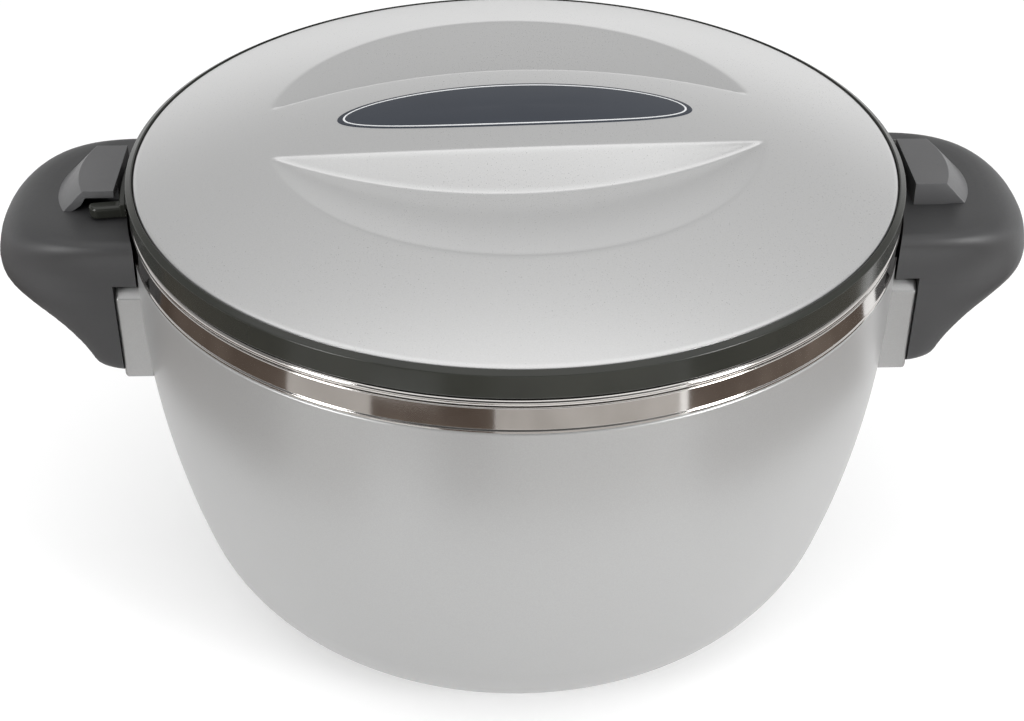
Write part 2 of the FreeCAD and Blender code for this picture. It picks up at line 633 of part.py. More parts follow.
# Lugs: in the lid's own frame one lug stands 5.2 degrees from the bridge.
LUG_DEG = 5.2


def sector(r0, r1, a0, a1, z0, z1):
    face_pts = [Vector(r * math.cos(math.radians(a)), r * math.sin(math.radians(a)), z0)
                for r, a in ((r0, a0), (r1, a0), (r1, (a0 + a1) / 2), (r1, a1), (r0, a1), (r0, (a0 + a1) / 2))]
    p0, p1, p2, p3, p4, p5 = face_pts
    wire = Part.Wire([Part.LineSegment(p0, p1).toShape(), Part.Arc(p1, p2, p3).toShape(),
                      Part.LineSegment(p3, p4).toShape(), Part.Arc(p4, p5, p0).toShape()])
    return Part.Face(wire).extrude(Vector(0, 0, z1 - z0))


def lug_shape():
    v = V
    a_hi = LUG_DEG + math.degrees((v["lug_half"] + 0.1) / v["rib_out"])
    a_lo = a_hi - 12.2
    rib = sector(v["rib_in"], v["rib_out"], a_lo, a_hi, v["rib_bot_z"], v["rib_top_z"])
    root = sector(131.2, v["rib_in"] + 0.3, a_lo, a_hi, v["ring_bot_z"] + 0.3, v["rib_top_z"])
    h = v["lug_half"]
    x0, x1 = v["rib_in"] + 0.4, v["lug_tip"]
    # tongue with a large round on the corner that leads out of the pocket
    rl, rs = 2 * h - 1.2, 1.2
    k = math.sqrt(0.5)
    z0 = v["lug_bot_z"]
    p = [Vector(x0, -h, z0), Vector(x1 - rs, -h, z0), Vector(x1 - rs + rs * k, -h + rs - rs * k, z0),
         Vector(x1, -h + rs, z0), Vector(x1 - rl + rl * k, h - rl + rl * k, z0), Vector(x1 - rl, h, z0),
         Vector(x0, h, z0)]
    wire = Part.Wire([Part.LineSegment(p[0], p[1]).toShape(), Part.Arc(p[1], p[2], p[3]).toShape(),
                      Part.Arc(p[3], p[4], p[5]).toShape(), Part.LineSegment(p[5], p[6]).toShape(),
                      Part.LineSegment(p[6], p[0]).toShape()])
    tongue = Part.Face(wire).extrude(Vector(0, 0, v["lug_top_z"] - z0))
    tongue.rotate(Vector(0, 0, 0), Vector(0, 0, 1), LUG_DEG)
    one = rib.fuse(root).fuse(tongue)
    two = one.copy()
    two.rotate(Vector(0, 0, 0), Vector(0, 0, 1), 180)
    return one, two


lug_a, lug_b = lug_shape()
lugs = []
for name, s in (("lug_a", lug_a), ("lug_b", lug_b)):
    o = doc.addObject("Part::Feature", name)
    o.Shape = s.removeSplitter()
    lugs.append(o)
ring_blank = boolean("MultiFuse", "ring_blank", ring_turn, lugs)
ring_holes = []
for k in range(6):
    a = math.radians(30 + 60 * k)
    ring_holes.append(cyl("ring_hole_%d" % k, D("ls_shank") + 0.15, 8.0,
                          (D("ls_circle") * math.cos(a), D("ls_circle") * math.sin(a), 158.0)))
ring_tools = doc.addObject("Part::MultiFuse", "ring_tools")
ring_tools.Shapes = ring_holes
REST = Placement(Vector(0, 0, 0), Rotation(Vector(0, 0, 1), V["lid_turn_rest"]))


def at_rest(o):
    o.Placement = REST
    o.setExpression("Placement.Rotation.Angle", "dims.lid_turn_rest")
    return o


node(at_rest(boolean("Cut", "lid_ring", ring_blank, ring_tools)), "lid_ring")

# ---------------------------------------------------------------- lid cover
def on_dome(rad, off):
    """Height of the dome, offset inwards by off, at a radius."""
    r_, o_ = (q if isinstance(q, Q) else Q(q, repr(float(q))) for q in (rad, off))
    big = V["dome_arc"]
    v = V["dome_z"] - big + math.sqrt((big - o_.v) ** 2 - r_.v ** 2)
    return Q(v, "(dims.dome_z - dims.dome_arc + sqrt((dims.dome_arc - %s)^2 - %s^2))" % (o_.e, r_.e))


def dome(name, off, low, rad):
    """Solid under the dome, offset inwards by off, down to height low."""
    return turned(name, [(0, low), (rad, low), (rad, on_dome(rad, off)), (0, D("dome_z") - off)],
                  {2: (D("dome_arc") - off, -1)})


def dished(name, off, low, rad):
    """The same with the finger dish sunk into its middle."""
    return turned(name, [(0, low), (rad, low), (rad, on_dome(rad, off)),
                         (D("dish_rad"), on_dome(D("dish_rad"), off)), (0, D("dish_mid_z") - off)],
                  {2: (D("dome_arc") - off, -1), 3: (D("dish_arc"), 1)})


def lens(z, mid, end, half):
    a, b = Vector(-half, -end, z), Vector(half, -end, z)
    c_, d = Vector(half, end, z), Vector(-half, end, z)
    return Part.Wire([Part.Arc(a, Vector(0, -mid, z), b).toShape(), Part.LineSegment(b, c_).toShape(),
                      Part.Arc(c_, Vector(0, mid, z), d).toShape(), Part.LineSegment(d, a).toShape()])


def bridge_prism(name, inset):
    v = V
    o = doc.addObject("Part::Feature", name)
    o.Shape = Part.makeLoft([
        lens(v["grip_bot_z"] - 6.0 * (1 if inset else 0), v["grip_bot_mid"] - inset + (4.9 if inset else 0),
             v["grip_bot_end"] - inset + (4.9 if inset else 0), v["grip_end"] - inset),
        lens(v["grip_top_z"], v["grip_top_mid"] - inset, v["grip_top_end"] - inset, v["grip_end"] - inset)],
        True, True)
    return o


zero = Q(0.0, "0.0")
cw = D("cover_wall")
out_dish = dished("out_dish", zero, D("cover_bot_z"), D("cover_rad"))
out_dome = dome("out_dome", zero, D("cover_bot_z"), D("cover_rad"))
in_rad = D("cover_rad") - 3.0
in_dish = dished("in_dish", cw, D("cover_bot_z") - 2.0, in_rad)
in_dome = dome("in_dome", cw, D("cover_bot_z") - 2.0, in_rad)
grip_out = boolean("MultiCommon", "grip_out", out_dome, [bridge_prism("bridge_out", 0.0)])
grip_in = boolean("MultiCommon", "grip_in", in_dome, [bridge_prism("bridge_in", V["grip_inset"])])
cover_solid = boolean("MultiFuse", "cover_solid", out_dish, [grip_out])
cover_void = boolean("MultiFuse", "cover_void", in_dish, [grip_in])
cover_shell = boolean("Cut", "cover_shell", cover_solid, cover_void)
# screw bosses under the rim
bosses, boss_holes = [], []
for k in range(6):
    a = math.radians(30 + 60 * k)
    xy = (D("ls_circle") * math.cos(a), D("ls_circle") * math.sin(a))
    bosses.append(cyl("cover_boss_%d" % k, D("ls_boss"), 4.5, xy + (D("ring_shelf_z"),)))
    boss_holes.append(cyl("cover_hole_%d" % k, D("ls_shank") + 0.02, D("ls_tip_z") + 0.3 - D("ring_shelf_z"),
                          xy + (D("ring_shelf_z"),)))
cover_bossed = boolean("MultiFuse", "cover_bossed", cover_shell, bosses)


def plate_prism(name, grow, low, high):
    # two half ellipses on one long axis, the rear one a little fuller
    v = V
    x = v["plate_half_x"] + grow
    o, up = Vector(0, 0, low), Vector(0, 0, 1)
    rear = Part.Ellipse(Vector(x, 0, low), Vector(0, v["plate_rear_y"] + grow, low), o)
    front = Part.Ellipse(Vector(x, 0, low), Vector(0, v["plate_front_y"] + grow, low), o)
    wire = Part.Wire([Part.Arc(rear, 0.0, math.pi).toShape(), Part.Arc(front, math.pi, 2 * math.pi).toShape()])
    o = doc.addObject("Part::Feature", name)
    o.Shape = Part.Face(wire).extrude(up * (high - low))
    return o


seat_under = dome("seat_under", D("plate_seat"), Q(150.0, "150.0"), D("cover_rad"))
seat_cut = boolean("Cut", "seat_cut", plate_prism("seat_prism", 0.15, 170.0, 190.0), seat_under)
fill_cut = cyl("lid_fill_hole", D("plug_rad") + 0.1, 20.0, (0.0, 0.0, 172.0))
cover_tools = doc.addObject("Part::MultiFuse", "cover_tools")
cover_tools.Shapes = boss_holes + [seat_cut, fill_cut]
node(at_rest(boolean("Cut", "lid_cover", cover_bossed, cover_tools)), "lid_cover")

# --------------------------------------------------------------- name plate
plate_top = dome("plate_top", D("plate_seat") - 0.02 - D("plate_t"), Q(150.0, "150.0"), D("cover_rad"))
plate_low = dome("plate_low", D("plate_seat") - 0.02, Q(149.0, "149.0"), D("cover_rad") + 1.0)
plate_slab = boolean("Cut", "plate_slab", plate_top, plate_low)
node(at_rest(boolean("MultiCommon", "name_plate", plate_slab, [plate_prism("plate_outline", 0.0, 170.0, 190.0)])),
     "name_plate")
plug = cyl("lid_fill_plug", D("plug_rad"), 3.0, (0.0, 0.0, D("dome_z") - D("plate_seat") - 3.1))
node(plug, "lid_fill_plug")

# ---------------------------------------------------------------- lid liner
lr, lb, lt, lc = D("liner_rad"), D("liner_base_z"), D("steel"), D("liner_corner")
lf, lo = D("liner_flange_z"), D("liner_flange_rad")
liner_turn = turned(
    "liner_turn",
    [(0, lb), (lr - lc, lb), (lr, lb + lc), (lr, lf - lt), (lo, lf - lt), (lo, lf), (lr - lt, lf),
     (lr - lt, lb + lc), (lr - lc, lb + lt), (0, lb + lt)],
    {1: (lc, -1), 7: (lc - lt, 1)})
liner_holes = []
for k in range(6):
    a = math.radians(30 + 60 * k)
    liner_holes.append(cyl("liner_hole_%d" % k, D("ls_shank") + 0.15, 3.0,
                           (D("ls_circle") * math.cos(a), D("ls_circle") * math.sin(a), lf - 2.0)))
liner_tools = doc.addObject("Part::MultiFuse", "liner_tools")
liner_tools.Shapes = liner_holes
node(at_rest(boolean("Cut", "lid_liner", liner_turn, liner_tools)), "lid_liner")

# ----------------------------------------------------------- lid insulation
foam_rad = D("cover_rad") - 3.3
cw2 = cw + 0.2
foam_dish = dished("foam_dish", cw2, D("ring_shelf_z") + 0.3, foam_rad)
foam_dome = dome("foam_dome", cw2, D("ring_shelf_z") + 0.3, foam_rad)
foam_grip = boolean("MultiCommon", "foam_grip", foam_dome, [bridge_prism("bridge_foam", V["grip_inset"] + 0.3)])
foam_low = turned("foam_low", [(0, lb + lt), (lr - lc - 1.5, lb + lt), (lr - lc, lb + lt + 0.2),
                               (lr - lt - 0.2, lb + lc), (lr - lt - 0.2, D("ring_shelf_z") + 1.0),
                               (0, D("ring_shelf_z") + 1.0)],
                  {2: (lc - lt - 0.2, -1)})
foam_all = boolean("MultiFuse", "foam_all", foam_dish, [foam_grip, foam_low])
foam_holes = []
for k in range(6):
    a = math.radians(30 + 60 * k)
    foam_holes.append(cyl("foam_hole_%d" % k, D("ls_boss") + 0.2, 12.0,
                          (D("ls_circle") * math.cos(a), D("ls_circle") * math.sin(a), 160.0)))
foam_holes.append(cyl("foam_plug_hole", D("plug_rad") + 0.2, 12.0, (0.0, 0.0, 179.2)))
foam_tools = doc.addObject("Part::MultiFuse", "foam_tools")
foam_tools.Shapes = foam_holes
node(at_rest(boolean("Cut", "lid_insulation", foam_all, foam_tools)), "lid_insulation")

# ---------------------------------------------------------------- lid screws
solids = []
for k in range(6):
    a = math.radians(30 + 60 * k)
    xy = (D("ls_circle") * math.cos(a), D("ls_circle") * math.sin(a))
    seat = lf - lt
    head = cyl("ls_head_%d" % k, D("ls_head"), D("ls_head_t"), xy + (seat - D("ls_head_t"),))
    shank = cyl("ls_shank_%d" % k, D("ls_shank"), D("ls_tip_z") - seat + D("ls_head_t") * 0.5,
                xy + (seat - D("ls_head_t") * 0.5,))
    solids.append(boolean("MultiFuse", "ls_%d" % k, head, [shank]))
c = doc.addObject("Part::Compound", "lid_screws")
c.Links = solids
node(at_rest(c), "lid_screws")

# ------------------------------------------------------------ check and save
doc.recompute()
bad = []
for o in doc.Objects:
    if any(s in ("Invalid", "Error") for s in o.State):
        bad.append("%s %s" % (o.Name, o.State))
for o in NODES:
    s = o.Shape
    if s.isNull() or not s.isValid() or not s.Solids:
        bad.append("%s has no valid solid" % o.Label)
if bad:
    raise RuntimeError("; ".join(bad))
for o in NODES:
    s = o.Shape
    bb = s.BoundBox
    print("%-18s solids %d  volume %10.1f  x %.1f..%.1f y %.1f..%.1f z %.2f..%.2f" % (
        o.Label, len(s.Solids), s.Volume, bb.XMin, bb.XMax, bb.YMin, bb.YMax, bb.ZMin, bb.ZMax))
    s.exportStep("parts/%s.step" % o.Label)
print("nodes", len(NODES))
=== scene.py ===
import bpy
import bmesh
import math
import numpy as np
from mathutils import Matrix, Vector


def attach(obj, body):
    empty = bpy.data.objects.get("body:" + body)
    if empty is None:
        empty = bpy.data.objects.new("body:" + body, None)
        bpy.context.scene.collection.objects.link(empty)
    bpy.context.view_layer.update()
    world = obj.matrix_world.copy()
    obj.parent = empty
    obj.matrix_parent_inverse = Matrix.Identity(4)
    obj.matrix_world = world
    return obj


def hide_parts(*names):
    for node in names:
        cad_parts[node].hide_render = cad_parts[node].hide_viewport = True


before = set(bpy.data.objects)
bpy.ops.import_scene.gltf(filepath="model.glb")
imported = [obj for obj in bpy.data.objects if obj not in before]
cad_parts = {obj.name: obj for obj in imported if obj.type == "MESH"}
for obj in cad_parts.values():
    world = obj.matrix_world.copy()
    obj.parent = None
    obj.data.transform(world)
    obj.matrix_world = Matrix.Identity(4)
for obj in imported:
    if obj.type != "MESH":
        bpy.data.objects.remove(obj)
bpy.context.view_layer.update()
MM = 0.001
SCENE = bpy.context.scene

# ---------------------------------------------------------------- mesh tools


def piece(name, verts_mm, faces, mats, face_mat=None, sharp=38.0, xf=None):
    """A mesh object from millimetre points, with smooth faces and sharp edges by angle."""
    me = bpy.data.meshes.new(name)
    me.from_pydata([(x * MM, y * MM, z * MM) for x, y, z in verts_mm], [], faces)
    for m in mats:
        me.materials.append(m)
    if face_mat is not None:
        me.polygons.foreach_set("material_index", face_mat)
    me.polygons.foreach_set("use_smooth", [True] * len(me.polygons))
    bm = bmesh.new()
    bm.from_mesh(me)
    bmesh.ops.remove_doubles(bm, verts=bm.verts, dist=1e-6)
    bmesh.ops.dissolve_degenerate(bm, edges=bm.edges, dist=1e-7)
    bmesh.ops.recalc_face_normals(bm, faces=bm.faces)
    bm.to_mesh(me)
    bm.free()
    me.update()
    me.set_sharp_from_angle(angle=math.radians(sharp))
    if xf is not None:
        me.transform(xf)
    ob = bpy.data.objects.new(name, me)
    SCENE.collection.objects.link(ob)
    return ob


def rounded(pts, steps=5, support=0.35, closed=True):
    """Outline (r, z, corner radius) to a dense (r, z) list: arcs at the corners
    and a loop beside each, so that the flats stay flat in the shading."""
    out = []
    n = len(pts)
    for i, (x, y, rad) in enumerate(pts):
        if not closed and i in (0, n - 1) or rad <= 0:
            out.append((x, y))
            continue
        p = np.array([x, y])
        a = np.array(pts[i - 1][:2]) - p
        b = np.array(pts[(i + 1) % n][:2]) - p
        la, lb = np.linalg.norm(a), np.linalg.norm(b)
        a, b = a / la, b / lb
        cosang = float(np.clip(a @ b, -1, 1))
        half = math.acos(cosang) / 2
        if half > math.radians(88.5):
            out.append((x, y))
            continue
        t = min(rad / math.tan(half), 0.46 * la, 0.46 * lb)
        rad = t * math.tan(half)
        c = p + (a + b) / np.linalg.norm(a + b) * (rad / math.sin(half))
        p0, p1 = p + a * t, p + b * t
        sup = min(support, 0.25 * (la - t), 0.25 * (lb - t))
        out.append(tuple(p0 + a * sup))
        v0, v1 = p0 - c, p1 - c
        ang = math.atan2(v0[0] * v1[1] - v0[1] * v1[0], float(v0 @ v1))
        for k in range(steps + 1):
            th = ang * k / steps
            out.append((c[0] + v0[0] * math.cos(th) - v0[1] * math.sin(th),
                        c[1] + v0[0] * math.sin(th) + v0[1] * math.cos(th)))
        out.append(tuple(p1 + b * sup))
    return out


def arc_pts(p0, p1, rad, n, side=-1):
    """Points strictly between p0 and p1 on an arc that bulges right (-1) or left (+1) of the way."""
    p0, p1 = np.array(p0, float), np.array(p1, float)
    mid, d = (p0 + p1) / 2, p1 - p0
    half = np.linalg.norm(d) / 2
    left = np.array([-d[1], d[0]]) / np.linalg.norm(d)
    c = mid - left * side * math.sqrt(rad ** 2 - half ** 2)
    a0 = math.atan2(*(p0 - c)[::-1])
    a1 = math.atan2(*(p1 - c)[::-1])
    da = (a1 - a0 + math.pi) % (2 * math.pi) - math.pi
    return [(c[0] + rad * math.cos(a0 + da * k / n), c[1] + rad * math.sin(a0 + da * k / n), 0) for k in range(1, n)]


def lathe(name, prof, mats, seg=240, closed=True, sharp=38.0, mat_of=None, xf=None):
    """Turns (r, z) points round Z. Points on the axis become poles."""
    verts, rings = [], []
    for r, z in prof:
        if r < 1e-6:
            rings.append([len(verts)])
            verts.append((0, 0, z))
        else:
            rings.append(list(range(len(verts), len(verts) + seg)))
            for k in range(seg):
                a = 2 * math.pi * k / seg
                verts.append((r * math.cos(a), r * math.sin(a), z))
    faces, fm = [], []
    pairs = list(zip(rings, rings[1:] + ([rings[0]] if closed else [])))
    if not closed:
        pairs = list(zip(rings, rings[1:]))
    for i, (a, b) in enumerate(pairs):
        m = mat_of(prof[i], prof[(i + 1) % len(prof)]) if mat_of else 0
        for k in range(seg):
            k2 = (k + 1) % seg
            if len(a) == 1 and len(b) == 1:
                continue
            if len(a) == 1:
                faces.append((a[0], b[k2], b[k]))
            elif len(b) == 1:
                faces.append((a[k], a[k2], b[0]))
            else:
                faces.append((a[k], a[k2], b[k2], b[k]))
            fm.append(m)
    return piece(name, verts, faces, mats, fm, sharp=sharp, xf=xf)


def stack(rows, faces, closed_rows=True):
    """Quads between rows of equal length, each a list of vertex numbers."""
    for a, b in zip(rows, rows[1:]):
        n = len(a)
        for k in range(n if closed_rows else n - 1):
            faces.append((a[k], a[(k + 1) % n], b[(k + 1) % n], b[k]))


def bake(ob):
    """Applies an object's modifiers to its mesh."""
    dg = bpy.context.evaluated_depsgraph_get()
    me = bpy.data.meshes.new_from_object(ob.evaluated_get(dg))
    old = ob.data
    ob.modifiers.clear()
    ob.data = me
    bpy.data.meshes.remove(old)
    return ob


def cut(ob, *tools, op="DIFFERENCE"):
    for t in tools:
        m = ob.modifiers.new("cut", "BOOLEAN")
        m.operation = op
        m.solver = "EXACT"
        m.object = t
    bake(ob)
    for t in tools:
        bpy.data.objects.remove(t)
    return ob


def bevel(ob, width_mm, segments=3, angle=30.0, sharp=38.0):
    m = ob.modifiers.new("bevel", "BEVEL")
    m.width = width_mm * MM
    m.segments = segments
    m.limit_method = "ANGLE"
    m.angle_limit = math.radians(angle)
    m.miter_outer = "MITER_ARC"
    m.use_clamp_overlap = True
    bake(ob)
    me = ob.data
    me.polygons.foreach_set("use_smooth", [True] * len(me.polygons))
    wn = ob.modifiers.new("weighted", "WEIGHTED_NORMAL")
    wn.keep_sharp = True
    me.set_sharp_from_angle(angle=math.radians(sharp))
    return ob


def join(name, obs):
    """Joins meshes that share their material slots."""
    bm = bmesh.new()
    for o in obs:
        bm.from_mesh(o.data)
    me = bpy.data.meshes.new(name)
    bm.to_mesh(me)
    bm.free()
    for m in obs[0].data.materials:
        me.materials.append(m)
    ob = bpy.data.objects.new(name, me)
    SCENE.collection.objects.link(ob)
    for o in obs:
        bpy.data.objects.remove(o)
    return ob


HALF = Matrix.Rotation(math.pi, 4, "Z")
REST = Matrix.Rotation(math.radians(3.0), 4, "Z")

# ---------------------------------------------------------------- materials


class Nodes:
    """Short names for building one material."""

    def __init__(self, name):
        self.mat = bpy.data.materials.new(name)
        self.mat.use_nodes = True
        self.t = self.mat.node_tree
        self.bsdf = self.t.nodes["Principled BSDF"]
        self.obj = self.t.nodes.new("ShaderNodeTexCoord").outputs["Object"]

    def put(self, socket, value):
        self.bsdf.inputs[socket].default_value = value

    def link(self, a, b):
        self.t.links.new(a, b)

    def scale(self, vec):
        m = self.t.nodes.new("ShaderNodeMapping")
        m.inputs["Scale"].default_value = vec
        self.link(self.obj, m.inputs["Vector"])
        return m.outputs["Vector"]

    def noise(self, scale, detail=3.0, rough=0.5, vec=None, distort=0.0):
        n = self.t.nodes.new("ShaderNodeTexNoise")
        n.inputs["Scale"].default_value = scale
        n.inputs["Detail"].default_value = detail
        n.inputs["Roughness"].default_value = rough
        n.inputs["Distortion"].default_value = distort
        self.link(vec or self.obj, n.inputs["Vector"])
        return n.outputs["Fac"]

    def ramp(self, fac, stops):
        r = self.t.nodes.new("ShaderNodeValToRGB")
        el = r.color_ramp.elements
        while len(el) > 1:
            el.remove(el[-1])
        for i, (p, c) in enumerate(stops):
            e = el[0] if i == 0 else el.new(p)
            e.position = p
            e.color = tuple(c) + (1.0,) if len(c) == 3 else c
        self.link(fac, r.inputs["Fac"])
        return r.outputs["Color"]

    def range(self, fac, lo, hi, a=0.0, b=1.0):
        r = self.t.nodes.new("ShaderNodeMapRange")
        r.inputs["From Min"].default_value = a
        r.inputs["From Max"].default_value = b
        r.inputs["To Min"].default_value = lo
        r.inputs["To Max"].default_value = hi
        self.link(fac, r.inputs["Value"])
        return r.outputs["Result"]

    def math(self, op, a, b=None, c=None):
        n = self.t.nodes.new("ShaderNodeMath")
        n.operation = op
        for i, v in enumerate((a, b, c)):
            if v is None:
                continue
            if isinstance(v, (int, float)):
                n.inputs[i].default_value = v
            else:
                self.link(v, n.inputs[i])
        return n.outputs[0]

    def mix(self, fac, a, b):
        n = self.t.nodes.new("ShaderNodeMix")
        n.data_type = "RGBA"
        for key, v in (("Factor", fac), ("A", a), ("B", b)):
            s = [i for i in n.inputs if i.name == key and i.type in (("VALUE",) if key == "Factor" else ("RGBA",))][0]
            if isinstance(v, (int, float)):
                s.default_value = v
            elif isinstance(v, tuple):
                s.default_value = v + (1.0,) if len(v) == 3 else v
            else:
                self.link(v, s)
        return [o for o in n.outputs if o.type == "RGBA"][0]

    def bump(self, height, strength, dist_mm):
        b = self.t.nodes.new("ShaderNodeBump")
        b.inputs["Strength"].default_value = strength
        b.inputs["Distance"].default_value = dist_mm * MM
        self.link(height, b.inputs["Height"])
        prev = self.bsdf.inputs["Normal"]
        if prev.is_linked:
            self.link(prev.links[0].from_socket, b.inputs["Normal"])
        self.link(b.outputs["Normal"], prev)
        return b

    def radius(self):
        """Distance from the Z axis, in metres."""
        s = self.t.nodes.new("ShaderNodeSeparateXYZ")
        self.link(self.obj, s.inputs[0])
        x2 = self.math("MULTIPLY", s.outputs[0], s.outputs[0])
        return self.math("SQRT", self.math("MULTIPLY_ADD", s.outputs[1], s.outputs[1], x2)), s.outputs[2]


def silver_plastic(name, base=(0.50, 0.50, 0.498), rough=0.36, metal=0.55):
    """Silver-pigmented moulded plastic: fine flakes, slight orange peel."""
    n = Nodes(name)
    flake = n.noise(2600.0, 1.0, 0.6)
    cloud = n.noise(9.0, 3.0, 0.5)
    c0 = n.ramp(flake, [(0.30, tuple(v * 0.96 for v in base)), (0.70, tuple(min(1.0, v * 1.04) for v in base))])
    c1 = n.mix(n.range(cloud, 0.0, 0.10), c0, tuple(min(1.0, v * 1.10) for v in base))
    n.link(c1, n.bsdf.inputs["Base Color"])
    n.put("Metallic", metal)
    n.link(n.math("ADD", n.range(flake, rough - 0.05, rough + 0.05), n.range(cloud, -0.02, 0.02)),
           n.bsdf.inputs["Roughness"])
    n.bump(n.noise(420.0, 2.0, 0.5), 0.05, 0.05)
    n.bump(flake, 0.05, 0.02)
    return n.mat


def dark_plastic(name, base, rough, grain=900.0, grain_strength=0.16, spread=0.12, spec=0.5):
    """Moulded dark plastic with a fine eroded grain and faint handling marks."""
    n = Nodes(name)
    grain_tex = n.noise(grain, 2.0, 0.6)
    cloud = n.noise(26.0, 4.0, 0.55)
    lo = tuple(v * (1 - spread) for v in base)
    hi = tuple(v * (1 + spread) for v in base)
    n.link(n.ramp(cloud, [(0.3, lo), (0.7, hi)]), n.bsdf.inputs["Base Color"])
    n.put("Specular IOR Level", spec)
    n.link(n.math("ADD", n.range(grain_tex, rough - 0.04, rough + 0.05), n.range(cloud, -0.025, 0.025)),
           n.bsdf.inputs["Roughness"])
    n.bump(grain_tex, grain_strength, 0.05)
    return n.mat


def ring_plastic(name):
    """Glossy olive-grey plastic: smooth, with faint swirl marks."""
    n = Nodes(name)
    cloud = n.noise(40.0, 4.0, 0.5)
    n.link(n.ramp(cloud, [(0.3, (0.018, 0.019, 0.016)), (0.7, (0.023, 0.024, 0.020))]), n.bsdf.inputs["Base Color"])
    n.put("Specular IOR Level", 0.31)
    fine = n.noise(260.0, 3.0, 0.6, vec=n.scale((1.0, 1.0, 9.0)))
    n.link(n.math("ADD", n.range(fine, 0.15, 0.24), n.range(cloud, -0.02, 0.03)), n.bsdf.inputs["Roughness"])
    n.bump(n.noise(160.0, 2.0, 0.5), 0.05, 0.04)
    return n.mat


def polished_steel(name, base=(0.56, 0.54, 0.52), rough=0.09, marks=0.5):
    """Polished strip: hairlines along the hoop, a slight wave from rolling, finger haze."""
    n = Nodes(name)
    lines = n.noise(70.0, 3.0, 0.65, vec=n.scale((1.0, 1.0, 60.0)))
    haze = n.noise(22.0, 4.0, 0.6, distort=0.4)
    n.link(n.ramp(haze, [(0.35, tuple(v * 0.92 for v in base)), (0.65, base)]), n.bsdf.inputs["Base Color"])
    n.put("Metallic", 1.0)
    n.link(n.math("ADD", n.range(lines, rough - 0.03, rough + 0.06 * marks), n.range(haze, -0.02, 0.05 * marks)),
           n.bsdf.inputs["Roughness"])
    n.bump(n.noise(14.0, 2.0, 0.4, vec=n.scale((1.0, 1.0, 2.2))), 0.35, 0.35)
    n.bump(lines, 0.04, 0.02)
    return n.mat


def spun_steel(name, base=(0.62, 0.61, 0.59), rough=0.26):
    """Spun stainless: fine rings on the floor and round the wall."""
    n = Nodes(name)
    rad, z = n.radius()
    comb = n.t.nodes.new("ShaderNodeCombineXYZ")
    n.link(n.math("MULTIPLY", rad, 2600.0), comb.inputs[0])
    n.link(n.math("MULTIPLY", z, 2600.0), comb.inputs[1])
    rings = n.noise(1.0, 4.0, 0.65, vec=comb.outputs[0])
    soft = n.noise(18.0, 3.0, 0.5)
    n.link(n.ramp(rings, [(0.3, tuple(v * 0.86 for v in base)), (0.7, tuple(min(1, v * 1.06) for v in base))]),
           n.bsdf.inputs["Base Color"])
    n.put("Metallic", 1.0)
    n.put("Anisotropic", 0.35)
    n.link(n.math("ADD", n.range(rings, rough - 0.06, rough + 0.08), n.range(soft, -0.03, 0.04)),
           n.bsdf.inputs["Roughness"])
    n.bump(rings, 0.10, 0.03)
    return n.mat


def rubber(name, base, rough=0.6):
    n = Nodes(name)
    g = n.noise(700.0, 2.0, 0.5)
    c = n.noise(35.0, 3.0, 0.5)
    n.link(n.ramp(c, [(0.3, tuple(v * 0.94 for v in base)), (0.7, tuple(min(1, v * 1.05) for v in base))]),
           n.bsdf.inputs["Base Color"])
    n.link(n.range(g, rough - 0.05, rough + 0.07), n.bsdf.inputs["Roughness"])
    n.put("Subsurface Weight", 0.08)
    n.put("Subsurface Radius", (0.004, 0.004, 0.004))
    n.bump(g, 0.12, 0.03)
    return n.mat


def foam(name):
    n = Nodes(name)
    v = n.t.nodes.new("ShaderNodeTexVoronoi")
    v.inputs["Scale"].default_value = 620.0
    n.link(n.obj, v.inputs["Vector"])
    n.link(n.ramp(v.outputs["Distance"], [(0.0, (0.58, 0.50, 0.30)), (0.6, (0.82, 0.75, 0.52))]),
           n.bsdf.inputs["Base Color"])
    n.put("Roughness", 0.85)
    n.bump(v.outputs["Distance"], 0.5, 0.3)
    return n.mat


def lacquer(name):
    """Dark blue-grey lacquer under a clear coat."""
    n = Nodes(name)
    cloud = n.noise(30.0, 3.0, 0.5)
    fine = n.noise(1800.0, 1.0, 0.5)
    n.link(n.ramp(cloud, [(0.3, (0.027, 0.032, 0.043)), (0.7, (0.031, 0.037, 0.049))]), n.bsdf.inputs["Base Color"])
    n.link(n.range(fine, 0.28, 0.36), n.bsdf.inputs["Roughness"])
    n.put("Specular IOR Level", 0.15)
    n.bump(n.noise(120.0, 2.0, 0.5), 0.03, 0.03)
    return n.mat


def print_white(name):
    n = Nodes(name)
    g = n.noise(1500.0, 2.0, 0.5)
    n.link(n.ramp(g, [(0.3, (0.68, 0.69, 0.71)), (0.7, (0.76, 0.77, 0.78))]), n.bsdf.inputs["Base Color"])
    n.put("Roughness", 0.4)
    n.bump(g, 0.05, 0.01)
    return n.mat


# The shell's silver is the cover's silver plastic made about a third darker: painted shade on the body's walls and
# blocks.
M_SHELL_SHADED = silver_plastic("silver_shell_painted_shade", (0.348, 0.348, 0.346), 0.35, 0.52)
M_COVER = silver_plastic("silver_cover", (0.50, 0.50, 0.498), 0.30, 0.6)
M_HANDLE = dark_plastic("handle_grey", (0.032, 0.032, 0.033), 0.50, spec=0.45)
# The hook caps use the handles' dark grey plastic made about twice as light: painted light for the overhead lamp on
# the hook tops.
M_HOOK_LIT = dark_plastic("hook_grey_painted_light", (0.072, 0.072, 0.074), 0.36, spec=0.6)
M_RING = ring_plastic("ring_olive")
M_BAND = polished_steel("band_polished")
M_POT = spun_steel("pot_spun")
M_LINER = spun_steel("liner_spun", rough=0.24)
M_SCREW = polished_steel("screw_plated", (0.56, 0.55, 0.52), 0.22, 1.2)
M_SEAL = rubber("silicone", (0.60, 0.60, 0.57))
M_FOAM = foam("foam_yellow")
M_PLUG = silver_plastic("silver_plug", (0.42, 0.42, 0.42), 0.42, 0.35)
M_PLATE = lacquer("plate_lacquer")
M_PRINT = print_white("plate_line")

